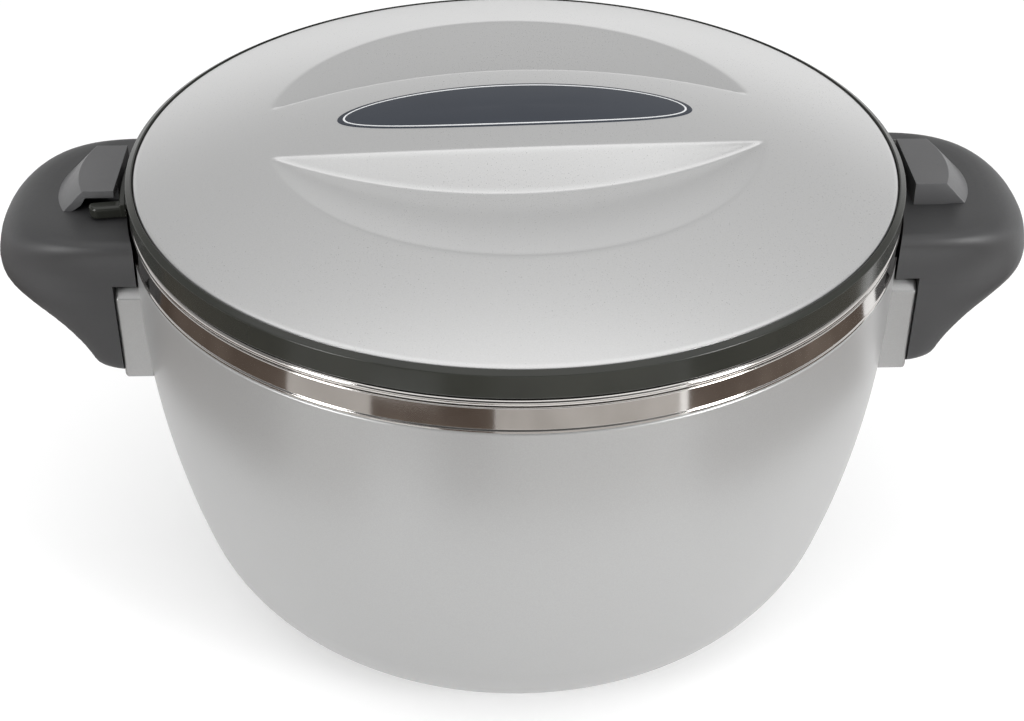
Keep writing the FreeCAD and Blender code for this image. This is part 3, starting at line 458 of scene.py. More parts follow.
for node, mat in (("rim_seal", M_SEAL), ("body_insulation", M_FOAM), ("lid_insulation", M_FOAM),
                  ("lid_fill_plug", M_PLUG), ("handle_screws", M_SCREW)):
    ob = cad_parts[node]
    if not ob.data.materials:
        ob.data.materials.append(mat)
    for s in ob.material_slots:
        s.material = mat

# ---------------------------------------------------------------- outer shell


def own(ob, body, slot, *nodes):
    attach(ob, body)
    if nodes:
        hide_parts(*nodes)
    return ob


outer = [(9.0, 2.5, 0.4), (66.0, 2.5, 1.2), (68.5, 0.0, 1.0)]
outer += [(75.2, 0.0, 0)] + arc_pts((75.2, 0.0), (119.64, 33.49), 46.2, 26) + [(119.64, 33.49, 0)]
outer += arc_pts((119.64, 33.49), (132.5, 125.0), 332.0, 18) + [(132.5, 125.0, 0), (132.5, 134.0, 0)]
outer += [(132.5, 143.9, 0.7), (130.8, 143.9, 0), (130.8, 154.0, 0.3), (128.0, 154.0, 0.3), (128.0, 145.0, 0),
          (129.7, 141.0, 0), (129.7, 125.0, 0)]
outer += arc_pts((129.7, 125.0), (116.95, 34.26), 329.2, 10, 1) + [(116.95, 34.26, 0)]
outer += arc_pts((116.95, 34.26), (75.2, 2.8), 43.4, 14, 1) + [(75.2, 2.8, 0), (69.0, 2.8, 0), (64.0, 5.3, 0),
                                                               (9.0, 5.3, 0.3)]
shell = lathe("outer_shell_body", rounded(outer), [M_SHELL_SHADED], seg=288)


def rounded_block(name, x0, x1, y_half, z0, z1, xf):
    """Mounting block: bevelled top-front edges, rounded face corners."""
    bm = bmesh.new()
    c = [(x, y, z) for z in (z0, z1) for x, y in ((x0, -y_half), (x1, -y_half), (x1, y_half), (x0, y_half))]
    v = [bm.verts.new([q * MM for q in p]) for p in c]
    for f in ((3, 2, 1, 0), (4, 5, 6, 7), (0, 1, 5, 4), (1, 2, 6, 5), (2, 3, 7, 6), (3, 0, 4, 7)):
        bm.faces.new([v[i] for i in f])
    bm.edges.ensure_lookup_table()

    def pick(test):
        return [e for e in bm.edges if test((e.verts[0].co + e.verts[1].co) / 2 / MM)]

    top_side = pick(lambda m: abs(m.z - z1) < 0.01 and abs(abs(m.y) - y_half) < 0.01)
    bmesh.ops.bevel(bm, geom=top_side, offset=3.0 * MM, segments=1, affect="EDGES", profile=0.5)
    face_edges = [e for e in bm.edges if all(abs(w.co.x / MM - x1) < 0.01 for w in e.verts)]
    bmesh.ops.bevel(bm, geom=face_edges, offset=1.3 * MM, segments=4, affect="EDGES", profile=0.5)
    rest = [e for e in bm.edges if e.calc_face_angle(0.0) > math.radians(30)
            and all(w.co.x / MM > x0 + 0.5 for w in e.verts)]
    me = bpy.data.meshes.new(name)
    bm.to_mesh(me)
    bm.free()
    me.materials.append(M_SHELL_SHADED)
    ob = bpy.data.objects.new(name, me)
    SCENE.collection.objects.link(ob)
    bevel(ob, 0.45, 3, 28.0)
    bake(ob)
    ob.data.transform(xf)
    return ob


blocks = [rounded_block("shell_block_right", 126.5, 136.5, 35.5, 97.5, 132.5, Matrix()),
          rounded_block("shell_block_left", 126.5, 136.5, 35.5, 97.5, 132.5, HALF)]
own(shell, "pot", "shell_plastic", "outer_shell")
for b in blocks:
    own(b, "pot", "shell_plastic", "outer_shell")

# ---------------------------------------------------------------- steel band
band = [(131.05, 144.0, 0.1), (132.35, 144.0, 0.25), (132.6, 144.35, 0.25), (132.6, 145.0, 0.3), (132.25, 145.45, 0.2),
        (132.2, 146.2, 0), (132.2, 152.2, 0), (132.2, 153.2, 0.45), (131.05, 153.2, 0.1)]
own(lathe("rim_band_hoop", rounded(band, steps=4, support=0.15), [M_BAND], seg=288), "pot", "band_steel", "rim_band")

# ---------------------------------------------------------------- inner pot
bead_c = (131.2, 154.7)
bead = [(bead_c[0] + 1.3 * math.cos(math.radians(a)), bead_c[1] + 1.3 * math.sin(math.radians(a)), 0)
        for a in range(90, -136, -9)]
bead_in = [(bead_c[0] + 0.5 * math.cos(math.radians(a)), bead_c[1] + 0.5 * math.sin(math.radians(a)), 0)
           for a in range(-135, 91, 15)]
pot = [(0.0, 14.8, 0)] + [(r, 14.8, 0) for r in (6.0, 20.0, 40.0, 60.0)] + [(74.8, 14.8, 0)]
pot += arc_pts((74.8, 14.8), (108.23, 40.02), 34.8, 20) + [(108.23, 40.02, 0)]
pot += arc_pts((108.23, 40.02), (120.6, 128.0), 319.2, 16) + [(120.6, 128.0, 0), (120.6, 140.0, 0), (120.6, 150.0, 0)]
pot += [(120.6, 156.0, 1.7), (128.0, 156.0, 0)] + bead + bead_in
pot += [(128.0, 155.2, 0), (121.4, 155.2, 0.9), (121.4, 128.0, 0)]
pot += arc_pts((121.4, 128.0), (109.0, 39.8), 320.0, 8, 1) + [(109.0, 39.8, 0)]
pot += arc_pts((109.0, 39.8), (74.8, 14.0), 35.6, 10, 1) + [(74.8, 14.0, 0), (0.0, 14.0, 0)]


def pot_face(a, b):
    # the rolled rim is polished, the rest spun
    return 1 if min(a[1], b[1]) > 152.5 and min(a[0], b[0]) > 121.8 else 0


own(lathe("inner_pot_spun", rounded(pot, steps=6), [M_POT, M_BAND], seg=288, closed=False, mat_of=pot_face),
    "pot", "pot_steel", "inner_pot")

# ---------------------------------------------------------------- base plug
plug = [(0.0, 1.55, 0), (2.2, 1.55, 0), (3.0, 1.3, 0.2), (11.3, 1.3, 0.7), (12.0, 2.5, 0.3), (8.9, 2.5, 0.1),
        (8.9, 6.1, 0.5), (0.0, 6.1, 0)]
own(lathe("foam_fill_plug_disc", rounded(plug, closed=False, support=0.2), [M_PLUG], seg=96, closed=False),
    "pot", "plug_plastic", "foam_fill_plug")

# ---------------------------------------------------------------- handles
HOOD = [(100.3, 25.5, 34.4), (101.0, 27.2, 35.8), (103.0, 29.2, 36.3), (106.2, 31.2, 36.4), (111.4, 35.4, 36.4),
        (117.9, 41.4, 36.4), (121.5, 45.2, 36.4), (124.4, 48.3, 36.4), (127.5, 51.2, 36.3), (131.0, 52.8, 36.1),
        (134.5, 53.0, 36.0), (138.0, 52.3, 36.1), (141.5, 51.4, 36.6), (144.5, 50.2, 37.4), (147.3, 48.4, 38.4),
        (149.5, 46.2, 38.9), (151.3, 43.6, 38.5), (152.4, 40.7, 37.2), (153.0, 37.6, 35.1), (153.2, 34.5, 32.4)]


def pchip(xs, ys):
    xs, ys = np.array(xs, float), np.array(ys, float)
    h, d = np.diff(xs), np.diff(ys) / np.diff(xs)
    m = np.zeros(len(xs))
    m[0], m[-1] = d[0], d[-1]
    for i in range(1, len(xs) - 1):
        if d[i - 1] * d[i] > 0:
            w1, w2 = 2 * h[i] + h[i - 1], h[i] + 2 * h[i - 1]
            m[i] = (w1 + w2) / (w1 / d[i - 1] + w2 / d[i])

    def f(x):
        i = int(np.clip(np.searchsorted(xs, x) - 1, 0, len(xs) - 2))
        t = (x - xs[i]) / h[i]
        return ((1 + 2 * t) * (1 - t) ** 2 * ys[i] + t * (1 - t) ** 2 * h[i] * m[i]
                + t * t * (3 - 2 * t) * ys[i + 1] + t * t * (t - 1) * h[i] * m[i + 1])
    return f


hood_a = pchip([s[0] for s in HOOD], [s[1] for s in HOOD])
hood_b = pchip([s[0] for s in HOOD], [s[2] for s in HOOD])
NX, NY, ROOT = 3.4, 2.4, 127.0


def oval_at(a, b, y):
    """X of the half oval at a given Y."""
    s = min(abs(y) / b, 1.0)
    st = s ** (NY / 2)
    c = math.sqrt(max(0.0, 1 - st * st))
    return ROOT + a * c ** (2 / NX)


def hood_loop(a, b, back, z, n=44, m=14, inset_back=None):
    """Closed plan outline: n+1 points round the oval from -Y to +Y, then m-1 along the back."""
    # where the oval meets the back line
    lo, hi = 0.0, math.pi / 2
    for _ in range(50):
        mid = (lo + hi) / 2
        x = ROOT + a * math.cos(mid) ** (2 / NX)
        y = b * math.sin(mid) ** (2 / NY)
        if x > back(y):
            lo = mid
        else:
            hi = mid
    t1 = lo
    # even spacing by length along the oval
    fine = [(ROOT + a * math.cos(t) ** (2 / NX) if t < math.pi / 2 else ROOT,
             b * math.sin(t) ** (2 / NY)) for t in np.linspace(0, t1, 400)]
    fine = [(x, -y) for x, y in fine[::-1]] + fine[1:]
    fine = np.array(fine)
    d = np.concatenate([[0], np.cumsum(np.hypot(*np.diff(fine, axis=0).T))])
    s = np.linspace(0, d[-1], n + 1)
    xs, ys = np.interp(s, d, fine[:, 0]), np.interp(s, d, fine[:, 1])
    pts = list(zip(xs, ys))
    yb = pts[-1][1]
    for k in range(1, m):
        y = yb - 2 * yb * k / m
        pts.append((back(y), y))
    return [(x, y, z) for x, y in pts]


def prism(name, loops, mat):
    verts, faces, rows = [], [], []
    for lp in loops:
        rows.append(list(range(len(verts), len(verts) + len(lp))))
        verts.extend(lp)
    stack(rows, faces)
    faces.append(tuple(rows[0]))
    faces.append(tuple(rows[-1]))
    return piece(name, verts, faces, [mat])


def handle_mesh(name, xf):
    verts, faces, rows = [], [], []

    def add(loop):
        rows.append(list(range(len(verts), len(verts) + len(loop))))
        verts.extend(loop)

    def flat(y):
        return 136.5

    def tube(y):
        return math.sqrt(133.3 ** 2 - y * y)

    def wall(y):
        return 141.5

    # outside, from the lip up; the lip is rounded
    for z, a, b in [(100.3, 25.2, 34.2), (100.36, 25.7, 34.8), (100.6, 26.5, 35.4), (101.1, 27.3, 35.85)]:
        add(hood_loop(a, b, flat, z))
    for z in (102.0, 103.5, 105.0, 107.0, 109.5, 112.0, 114.5, 117.0, 119.3, 121.5, 123.5, 125.5, 127.5, 129.5,
              131.2, 132.58):
        add(hood_loop(hood_a(z), hood_b(z), flat, z))
    first_top = len(verts)
    for z in (132.6, 133.5, 134.5, 136.5, 138.5, 140.5, 142.5, 144.3, 145.9, 147.3, 148.5, 149.5, 150.3, 151.0, 151.6,
              152.1, 152.5, 152.8, 153.02, 153.15, 153.2):
        add(hood_loop(hood_a(z), hood_b(z), tube, z))
    last = hood_loop(34.5, 32.4, tube, 153.2)
    for k in (0.94, 0.86, 0.74, 0.6, 0.44, 0.26):
        add([(146 + (x - 146) * k, y * k, z) for x, y, z in last])
    # the lugs sweep over the inner part of the top: it lies half a millimetre lower
    for i in range(first_top, len(verts)):
        x, y, z = verts[i]
        if z > 152.7:
            s = min(1.0, max(0.0, (math.hypot(x, y) - 146.9) / 5.0))
            verts[i] = (x, y, 152.7 + (z - 152.7) * s * s * (3 - 2 * s))
    stack(rows, faces)
    faces.append(tuple(rows[0]))
    faces.append(tuple(rows[-1]))
    outside = piece(name, verts, faces, [M_HANDLE], sharp=40.0)
    # finger space: straight sides, rounded under the roof, open below
    verts, faces, rows = [], [], []
    for z in (95.0, 103.0, 112.0, 121.0, 130.0, 134.5, 138.0, 141.5, 143.0, 144.5, 145.9, 147.0, 147.9, 148.6, 149.1,
              149.4):
        a, b = hood_a(max(z, 134.5)), min(hood_b(max(z, 134.5)), 36.0)
        ins = 3.2 + max(0.0, (z - 141.5) * 0.35)
        r = 3.4 - math.sqrt(max(0.0, 3.4 ** 2 - max(0.0, z - 146.0) ** 2))
        rows.append(list(range(len(verts), len(verts) + 58)))
        verts.extend(hood_loop(a - ins - r, b - ins - r, wall, z))
    stack(rows, faces)
    faces.append(tuple(rows[0]))
    faces.append(tuple(rows[-1]))
    # over the block the underside rises outwards, clear of the block's chamfers
    wedges = [prism("wedge", [[(x, sy * 32.55, 131.0), (x, sy * 32.55, 132.6), (x, sy * 45.0, 141.3), (x, sy * 45.0, 131.0)]
                              for x in (110.0, 136.5)], M_HANDLE) for sy in (1, -1)]
    cut(outside, piece(name + "_space", verts, faces, [M_HANDLE]), *wedges)
    # screw bosses behind the root flange
    obs = [outside]
    for sy in (1, -1):
        boss = lathe("boss", rounded([(0.0, 0.0, 0), (4.7, 0.0, 0), (4.6, 10.3, 0.8), (2.3, 10.3, 0.2), (2.2, 9.0, 0),
                                      (0.0, 9.0, 0)], steps=4, support=0.2, closed=False),
                     [M_HANDLE], seg=40, closed=False)
        boss.data.transform(Matrix.Translation((140.7 * MM, sy * 18.0 * MM, 117.0 * MM))
                            @ Matrix.Rotation(math.pi / 2, 4, "Y"))
        obs.append(boss)
    ob = join(name, obs)
    me = ob.data
    me.polygons.foreach_set("use_smooth", [True] * len(me.polygons))
    me.set_sharp_from_angle(angle=math.radians(40))
    me.transform(xf)
    return ob


h_right = handle_mesh("handle_hood_right", Matrix())
h_left = handle_mesh("handle_hood_left", HALF)
own(h_right, "pot", "handle_plastic", "handle_right")
own(h_left, "pot", "handle_plastic", "handle_left")

# ---------------------------------------------------------------- lock hooks


def hook_loop(z, half, end, mid, inner, n=14):
    """Plan outline of the hook: straight towards the lid, an arc outwards."""
    sag = mid - end
    rad = (half ** 2 + sag ** 2) / (2 * sag)
    cx = mid - rad
    a = math.asin(half / rad)
    pts = [(inner, -half, z)]
    for k in range(n + 1):
        t = -a + 2 * a * k / n
        pts.append((cx + rad * math.cos(t), rad * math.sin(t), z))
    pts.append((inner, half, z))
    return pts


def hook_mesh(name, xf):
    ob = prism(name, [hook_loop(152.6, 16.7, 154.3, 158.4, 136.0), hook_loop(160.7, 16.3, 146.6, 149.8, 136.0)],
               M_HOOK_LIT)
    # pocket with an arched mouth, open at the +Y end and towards the lid
    z0 = 151.5
    prof = [(130.0, z0), (151.4, z0), (151.1, 152.95), (149.4, 153.9), (147.6, 155.2), (146.6, 156.6), (145.9, 157.8),
            (145.3, 158.0), (130.0, 158.0)]
    pocket = prism("pocket", [[(x, y, z) for x, z in prof] for y in (8.0, 24.0)], M_HOOK_LIT)
    cut(ob, pocket)
    ob.data.polygons.foreach_set("use_smooth", [True] * len(ob.data.polygons))
    bevel(ob, 0.7, 3, 24.0, sharp=50.0)
    bake(ob)
    ob.data.transform(xf)
    return ob


own(hook_mesh("lock_hook_cap_right", Matrix()), "pot", "handle_plastic", "lock_hook_right")
own(hook_mesh("lock_hook_cap_left", HALF), "pot", "handle_plastic", "lock_hook_left")

# ---------------------------------------------------------------- screws


def screw(name, head_r, head_t, shank_r, length, seg=40):
    """Pan-head screw along +Z, head underside at 0, cross recess in the head."""
    prof = [(0.0, -head_t, 0), (head_r * 0.55, -head_t, 0), (head_r, -head_t * 0.45, head_r * 0.35),
            (head_r, 0.0, 0.15), (shank_r, 0.0, 0)]
    z = 0.4
    while z < length - shank_r:
        prof += [(shank_r, z, 0), (shank_r * 0.82, z + 0.35, 0)]
        z += 0.8
    prof += [(shank_r * 0.8, length - shank_r * 0.8, 0), (0.0, length, 0)]
    ob = lathe(name, rounded(prof, steps=4, support=0.1, closed=False), [M_SCREW], seg=seg, closed=False, sharp=35)
    arms = []
    for k in (0, 1):
        w, l = head_r * 0.13, head_r * 0.58
        if k:
            w, l = l, w
        arms.append(prism("arm", [[(-l, -w, -head_t - 0.3), (l, -w, -head_t - 0.3), (l, w, -head_t - 0.3),
                                   (-l, w, -head_t - 0.3)],
                                  [(-l * 0.7, -w * 0.7, -head_t * 0.4), (l * 0.7, -w * 0.7, -head_t * 0.4),
                                   (l * 0.7, w * 0.7, -head_t * 0.4), (-l * 0.7, w * 0.7, -head_t * 0.4)]], M_SCREW))
    cut(ob, *arms)
    ob.data.polygons.foreach_set("use_smooth", [True] * len(ob.data.polygons))
    ob.data.set_sharp_from_angle(angle=math.radians(35))
    return ob


def screws(name, head_r, head_t, shank_r, length, places):
    base = screw(name + "_one", head_r, head_t, shank_r, length)
    copies = []
    for m in places:
        me = base.data.copy()
        me.transform(m)
        o = bpy.data.objects.new("s", me)
        SCENE.collection.objects.link(o)
        copies.append(o)
    bpy.data.objects.remove(base)
    ob = join(name, copies)
    return ob


places = []
for xf in (Matrix(), HALF):
    for y in (-3.0, -11.0):
        places.append(xf @ Matrix.Translation((146.2 * MM, y * MM, 149.4 * MM))
                      @ Matrix.Rotation(math.radians(20 + y * 7), 4, "Z"))
own(screws("hook_screws_pan", 2.8, 1.8, 1.4, 8.9, places), "pot", "screw_steel", "hook_screws")
places = []
for k in range(6):
    a = math.radians(30 + 60 * k)
    places.append(REST @ Matrix.Translation((120 * math.cos(a) * MM, 120 * math.sin(a) * MM, 159.4 * MM))
                  @ Matrix.Rotation(k * 1.1, 4, "Z"))
own(screws("lid_screws_pan", 2.3, 1.4, 1.2, 7.2, places), "lid", "screw_steel", "lid_screws")

# ---------------------------------------------------------------- lid gasket
gasket = [(123.4, 156.95, 0.5), (124.4, 156.15, 0.4), (128.2, 156.15, 0.4), (129.2, 156.95, 0.5), (129.2, 158.4, 0.3),
          (128.2, 158.8, 0.3), (128.2, 160.0, 0.2), (124.6, 160.0, 0.2), (124.6, 158.8, 0.3), (123.4, 158.4, 0.3)]
own(lathe("lid_gasket_ring", rounded(gasket, steps=3, support=0.1), [M_SEAL], seg=240), "lid_seal", "seal_rubber",
    "lid_gasket")

# ---------------------------------------------------------------- lid ring
ring = [(116.9, 160.2, 0.3), (129.6, 160.2, 0), (129.6, 156.4, 0.4), (132.3, 156.4, 0.5), (132.7, 164.75, 0.4),
        (130.65, 165.85, 0.2), (130.3, 165.2, 0.1), (130.2, 162.8, 0), (116.9, 162.8, 0.3)]
ring_ob = lathe("ring_turn", rounded(ring, steps=4, support=0.25), [M_RING], seg=288)
LUG = math.radians(5.2)


def sector_prism(name, r0, r1, a0, a1, z0, z1, n=14):
    lp = [(r1 * math.cos(a0 + (a1 - a0) * k / n), r1 * math.sin(a0 + (a1 - a0) * k / n)) for k in range(n + 1)]
    lp += [(r0 * math.cos(a1 + (a0 - a1) * k / n), r0 * math.sin(a1 + (a0 - a1) * k / n)) for k in range(n + 1)]
    return prism(name, [[(x, y, z) for x, y in lp] for z in (z0, z1)], M_RING)


def lug_parts():
    hi = LUG + 2.6 / 135.4
    lo = hi - math.radians(12.2)
    rib = sector_prism("rib", 133.2, 135.4, lo, hi, 153.3, 158.5)
    bevel(rib, 0.5, 3, 30.0)
    bake(rib)
    root = sector_prism("root", 131.6, 133.5, lo + 0.002, hi - 0.002, 156.7, 158.3)
    h, x0, x1 = 2.5, 133.9, 145.5
    pts = [(x0, -h), (x1 - 1.3, -h)]
    pts += [(x1 - 1.3 + 1.3 * math.sin(t), -h + 1.3 - 1.3 * math.cos(t)) for t in np.linspace(0, math.pi / 2, 6)[1:]]
    rl = 3.4
    pts += [(x1 - rl + rl * math.cos(t), h - rl + rl * math.sin(t)) for t in np.linspace(0, math.pi / 2, 9)[1:]]
    pts += [(x0, h)]
    tongue = prism("tongue", [[(x, y, z) for x, y in pts] for z in (153.1, 157.65)], M_RING)
    bevel(tongue, 1.15, 5, 40.0)
    bake(tongue)
    tongue.data.transform(Matrix.Rotation(LUG, 4, "Z"))
    return [rib, root, tongue]


parts = [ring_ob]
for xf in (Matrix(), HALF):
    for o in lug_parts():
        o.data.transform(xf)
        parts.append(o)
ring_full = join("lid_ring_lugs", parts)
ring_full.data.transform(REST)
own(ring_full, "lid", "ring_plastic", "lid_ring")

# ---------------------------------------------------------------- lid cover
DOME_Z, DOME_R = 183.5, 481.0
DISH_Z, DISH_R, DISH = 169.7, 590.0, 85.0


def smin(a, b, k):
    h = np.maximum(k - np.abs(a - b), 0) / k
    return np.minimum(a, b) - h * h * k * 0.25


def smax(a, b, k):
    return -smin(-a, -b, k)


def dome_z(r):
    return DOME_Z - DOME_R + np.sqrt(DOME_R ** 2 - r * r)


def dish_z(r):
    return DISH_Z + DISH_R - np.sqrt(DISH_R ** 2 - r * r)


def bridge_half(x, z):
    """Half width of the bridge at a height: an arc in plan, drafted walls."""
    rad = 210.3
    x = np.clip(np.abs(x), 0, 130)
    return 27.7 - (rad - np.sqrt(rad ** 2 - x * x)) + (184.5 - z) * 0.812


def bridge_wall(x, y):
    return 184.5 - (np.abs(y) - bridge_half(x, 184.5)) / 0.812


def cover_z(x, y):
    r = np.hypot(x, y)
    valley = smax(dish_z(r), bridge_wall(x, y), 1.3)
    return smin(dome_z(r), valley, 0.35 + 0.75 * np.clip((85.0 - r) / 8.0, 0.0, 1.0))


def cross(theta, f):
    """Radius along a ray where f changes sign, up to the dish's edge."""
    rs = np.linspace(12.0, DISH, 800)
    v = f(rs * math.cos(theta), rs * math.sin(theta))
    idx = np.where((v[:-1] > 0) & (v[1:] <= 0))[0]
    return float(rs[idx[0]]) if len(idx) else DISH


def spread(a, b, n, ends=True):
    """n points from a to b, closer together at both ends (or at the far end)."""
    t = np.linspace(0, 1, n)
    s = (1 - np.cos(math.pi * t)) / 2 if ends else np.sin(t * math.pi / 2)
    return a + (b - a) * (0.25 * t + 0.75 * s)


def cover_mesh():
    nt = 480
    verts, rows = [], []
    lines = None
    cols = []
    for k in range(nt):
        th = 2 * math.pi * k / nt
        r_top = cross(th, lambda x, y: bridge_wall(x, y) - dome_z(np.hypot(x, y)))
        r_foot = cross(th, lambda x, y: bridge_wall(x, y) - dish_z(np.hypot(x, y)))
        r_top = min(r_top, 80.5)
        r_foot = min(max(r_foot, r_top + 1.6), 83.4)
        rr = np.concatenate([spread(4.0, r_top, 22, False), spread(r_top, r_foot, 16)[1:],
                             spread(r_foot, DISH, 18)[1:], spread(DISH, 129.1, 20)[1:]])
        cols.append(rr)
    cols = np.array(cols)
    # even out the sudden steps between neighbouring rays
    for _ in range(3):
        cols[:, 1:-1] = 0.5 * cols[:, 1:-1] + 0.25 * (np.roll(cols, 1, 0)[:, 1:-1] + np.roll(cols, -1, 0)[:, 1:-1])
    th = 2 * np.pi * np.arange(nt) / nt
    x, y = cols * np.cos(th)[:, None], cols * np.sin(th)[:, None]
    z = cover_z(x, y)
    verts.append((0, 0, float(cover_z(np.array(0.0), np.array(0.0)))))
    faces = []
    n = cols.shape[1]
    for j in range(n):
        rows.append(list(range(len(verts), len(verts) + nt)))
        verts.extend(zip(x[:, j], y[:, j], z[:, j]))
    # rounded edge, then down the side and back underneath
    edge_z = float(dome_z(np.array(129.1)))
    prof = [(129.1 + 0.9 * math.sin(t), edge_z - 0.1 - 0.9 + 0.9 * math.cos(t)) for t in np.linspace(0.25, math.pi / 2, 6)]
    prof += [(130.0, 164.2), (130.0, 162.85), (129.8, 162.8), (127.2, 162.8), (127.0, 163.0)]
    for r, zz in prof:
        rows.append(list(range(len(verts), len(verts) + nt)))
        verts.extend((r * math.cos(t), r * math.sin(t), zz) for t in th)
    # underside: the same form 2.5 mm lower, in fewer rings
    for j in range(n - 3, -1, -3):
        rows.append(list(range(len(verts), len(verts) + nt)))
        r_ = np.minimum(cols[:, j], 126.0)
        xx, yy = r_ * np.cos(th), r_ * np.sin(th)
        zz = cover_z(xx, yy) - 2.5
        verts.extend(zip(xx, yy, zz))
    verts.append((0, 0, 181.0))
    end = len(verts) - 1
    stack(rows, faces)
    first, last = rows[0], rows[-1]
    for k in range(nt):
        faces.append((0, first[k], first[(k + 1) % nt]))
        faces.append((end, last[(k + 1) % nt], last[k]))
    return piece("lid_cover_dome", verts, faces, [M_COVER], sharp=50.0, xf=REST)


own(cover_mesh(), "lid", "shell_plastic", "lid_cover")

# ---------------------------------------------------------------- name plate


def plate_mesh():
    """Oval plate that follows the dome, rounded rim, a plain line inset in it."""
    hx, rear, front = 60.6, 16.5, 14.8
    verts, faces, fm, rows = [], [], [], []
    n = 160
    # inset at the long sides, inset at the two tips, height above the dome
    rings = [(0.04, 0.04, -0.6), (0.0, 0.0, -0.1), (0.03, 0.03, 0.04), (0.12, 0.12, 0.12), (0.28, 0.28, 0.15),
             (0.6, 0.7, 0.15), (1.05, 1.95, 0.15), (1.85, 2.65, 0.15), (3.4, 5.0, 0.15), (6.0, 12.0, 0.15),
             (8.5, 24.0, 0.15), (11.0, 38.0, 0.15), (13.0, 50.0, 0.15)]
    for side, end, up in rings:
        rows.append(list(range(len(verts), len(verts) + n)))
        for k in range(n):
            t = 2 * math.pi * k / n
            x = (hx - end) * math.cos(t)
            y = ((rear if t < math.pi else front) - side) * math.sin(t)
            verts.append((x, y, float(dome_z(np.hypot(x, y))) + up))
    for i, (a, b) in enumerate(zip(rows, rows[1:])):
        for k in range(n):
            faces.append((a[k], a[(k + 1) % n], b[(k + 1) % n], b[k]))
            fm.append(1 if rings[i][0] == 1.05 else 0)
    last = rows[-1]
    verts.append((0, 0, DOME_Z + 0.15))
    for k in range(n):
        faces.append((len(verts) - 1, last[k], last[(k + 1) % n]))
        fm.append(0)
    faces.append(tuple(rows[0][::-1]))
    fm.append(0)
    return piece("name_plate_oval", verts, faces, [M_PLATE, M_PRINT], fm, sharp=60.0, xf=REST)


own(plate_mesh(), "lid", "plate_lacquer", "name_plate")

# ---------------------------------------------------------------- lid liner
liner = [(0.0, 150.0, 0)] + [(r, 150.0, 0) for r in (8.0, 30.0, 60.0)] + [(88.0, 150.0, 0), (90.0, 150.9, 1.5),
                                                                        (98.0, 150.9, 1.5), (100.0, 150.0, 1.5)]
liner += [(116.6, 150.0, 4.0), (116.6, 159.4, 0.5), (122.8, 159.4, 0.2), (122.8, 160.2, 0.2), (115.8, 160.2, 0.5),
          (115.8, 150.9, 3.2), (0.0, 150.9, 0)]
own(lathe("lid_liner_spun", rounded(liner, steps=6, closed=False), [M_LINER], seg=240, closed=False), "lid",
    "pot_steel", "lid_liner")

# ---------------------------------------------------------------- the set
floor_mat = Nodes("floor_white")
fl = floor_mat.noise(3.0, 2.0, 0.5)
floor_mat.link(floor_mat.ramp(fl, [(0.3, (0.74, 0.74, 0.74)), (0.7, (0.76, 0.76, 0.76))]),
               floor_mat.bsdf.inputs["Base Color"])
# an evenly lit light table: part of the floor's brightness comes from below
floor_mat.put("Emission Color", (1.0, 1.0, 1.0, 1.0))
floor_mat.put("Emission Strength", 0.30)
floor_mat.put("Roughness", 0.6)
floor_mat.put("Specular IOR Level", 0.2)
# one-sided: a look from below passes through the floor to the underside
ft = floor_mat.t
f_geo, f_mix, f_clear = (ft.nodes.new(k) for k in ("ShaderNodeNewGeometry", "ShaderNodeMixShader", "ShaderNodeBsdfTransparent"))
f_out = [n for n in ft.nodes if n.bl_idname == "ShaderNodeOutputMaterial"][0]
floor_mat.link(f_geo.outputs["Backfacing"], f_mix.inputs[0])
floor_mat.link(floor_mat.bsdf.outputs[0], f_mix.inputs[1])
floor_mat.link(f_clear.outputs[0], f_mix.inputs[2])
floor_mat.link(f_mix.outputs[0], f_out.inputs["Surface"])
me = bpy.data.meshes.new("floor")
S = 6.0
me.from_pydata([(-S, -S, 0), (S, -S, 0), (S, S, 0), (-S, S, 0)], [], [(0, 1, 2, 3)])
me.materials.append(floor_mat.mat)
floor = bpy.data.objects.new("floor", me)
SCENE.collection.objects.link(floor)

# Studio flags: brown cloth on the table round the pot, seen only in the reflections.
flag_mat = Nodes("flag_cloth")
fg = flag_mat.noise(9.0, 4.0, 0.6)
flag_mat.link(flag_mat.ramp(fg, [(0.3, (0.075, 0.056, 0.044)), (0.55, (0.12, 0.094, 0.078)), (0.75, (0.20, 0.165, 0.14))]),
              flag_mat.bsdf.inputs["Base Color"])
flag_mat.put("Roughness", 0.9)
flag_mat.put("Specular IOR Level", 0.1)


def flag(name, a0, a1, r0, r1, mat=flag_mat):
    n = max(2, int(abs(a1 - a0) / 3))
    vs, fs = [], []
    for k in range(n + 1):
        a = math.radians(a0 + (a1 - a0) * k / n)
        for r in (r0, r1):
            vs.append((r * math.cos(a), r * math.sin(a), 0.002))
    for k in range(n):
        fs.append((2 * k, 2 * k + 1, 2 * k + 3, 2 * k + 2))
    m = bpy.data.meshes.new(name)
    m.from_pydata(vs, [], fs)
    m.materials.append(mat.mat)
    ob = bpy.data.objects.new(name, m)
    ob.visible_camera = False
    ob.visible_diffuse = False
    ob.visible_shadow = False
    ob.visible_transmission = False
    SCENE.collection.objects.link(ob)


grey_mat = Nodes("flag_grey")
gg = grey_mat.noise(14.0, 4.0, 0.6)
grey_mat.link(grey_mat.ramp(gg, [(0.3, (0.38, 0.36, 0.34)), (0.7, (0.54, 0.52, 0.50))]), grey_mat.bsdf.inputs["Base Color"])
grey_mat.put("Roughness", 0.9)
flag("flag_grey", 264.2, 307.0, 0.26, 0.50, grey_mat)
flag("flag_left", 138.0, 213.0, 0.235, 0.55)
flag("flag_left_grey", 213.0, 235.0, 0.235, 0.55, grey_mat)
flag("flag_left_front", 235.0, 251.5, 0.322, 0.55)
flag("flag_front", 251.5, 264.0, 0.27, 0.55)
flag("flag_right", 309.0, 370.0, 0.245, 0.55)

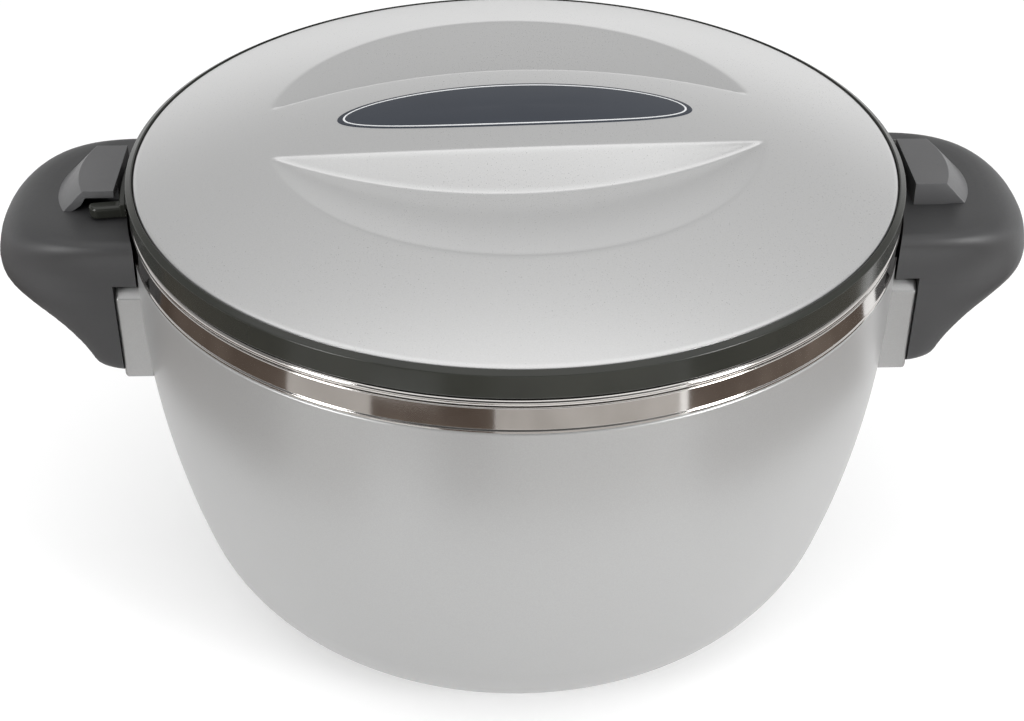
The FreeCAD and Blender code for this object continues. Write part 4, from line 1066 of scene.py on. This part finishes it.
world = bpy.data.worlds.new("studio")
SCENE.world = world
world.use_nodes = True
wt = world.node_tree
wbg = wt.nodes["Background"]
wtc = wt.nodes.new("ShaderNodeTexCoord")
wsep = wt.nodes.new("ShaderNodeSeparateXYZ")
wramp = wt.nodes.new("ShaderNodeValToRGB")
wel = wramp.color_ramp.elements
for i, (pos, v) in enumerate([(0.0, 1.35), (0.20, 1.26), (0.42, 0.48), (0.60, 0.66), (0.85, 0.88), (1.0, 0.92)]):
    e = wel[i] if i < 2 else wel.new(pos)
    e.position = pos
    e.color = (v, v, v, 1.0)
wt.links.new(wtc.outputs["Generated"], wsep.inputs[0])
wt.links.new(wsep.outputs[2], wramp.inputs["Fac"])


def wnode(op, a, b, c=None):
    n = wt.nodes.new("ShaderNodeMath")
    n.operation = op
    for i, v in enumerate((a, b, c)):
        if isinstance(v, (int, float)):
            n.inputs[i].default_value = v
        elif v is not None:
            wt.links.new(v, n.inputs[i])
    return n.outputs[0]


# brighter behind the object and on the right, darker on the camera's side
w_y = wnode("MULTIPLY_ADD", wsep.outputs[1], 0.50, 0.58)
w_x = wnode("MULTIPLY_ADD", wsep.outputs[0], 0.14, w_y)
wt.links.new(w_x, wbg.inputs["Strength"])
wt.links.new(wramp.outputs["Color"], wbg.inputs["Color"])


def area(name, loc, target, size, power, color=(1, 1, 1)):
    li = bpy.data.lights.new(name, "AREA")
    li.shape = "RECTANGLE"
    li.size, li.size_y = size
    li.energy = power
    li.color = color
    ob = bpy.data.objects.new(name, li)
    ob.location = loc
    ob.rotation_mode = "QUATERNION"
    ob.rotation_quaternion = (Vector(target) - Vector(loc)).to_track_quat("-Z", "Y")
    SCENE.collection.objects.link(ob)
    return ob


area("top", (0.0, -0.55, 2.0), (0, -0.35, 0.0), (3.2, 2.9), 32.5)
area("left", (-0.95, -0.75, 0.36), (0, 0, 0.09), (0.30, 0.7), 8.8)
area("right", (0.95, -0.75, 0.36), (0, 0, 0.09), (0.30, 0.7), 12.0)

# ---------------------------------------------------------------- camera
cam_data = bpy.data.cameras.new("camera")
cam_data.sensor_width = 36.0
cam_data.lens = 1773.0 / 1024.0 * 36.0
cam_data.clip_start, cam_data.clip_end = 0.01, 50.0
cam = bpy.data.objects.new("camera", cam_data)
SCENE.collection.objects.link(cam)
yaw, pitch, roll = math.radians(1.76), math.radians(34.88), math.radians(0.335)
fwd = Vector((math.sin(yaw) * math.cos(pitch), math.cos(yaw) * math.cos(pitch), -math.sin(pitch)))
right = Vector((math.cos(yaw), -math.sin(yaw), 0.0))
up = right.cross(fwd)
right2 = right * math.cos(roll) + up * math.sin(roll)
up2 = up * math.cos(roll) - right * math.sin(roll)
rot = Matrix((right2, up2, -fwd)).transposed()
cam.matrix_world = Matrix.Translation((-0.01749, -0.54207, 0.45589)) @ rot.to_4x4()
SCENE.camera = cam

SCENE.view_settings.view_transform = "Standard"
SCENE.view_settings.look = "None"
SCENE.view_settings.exposure = 0.0
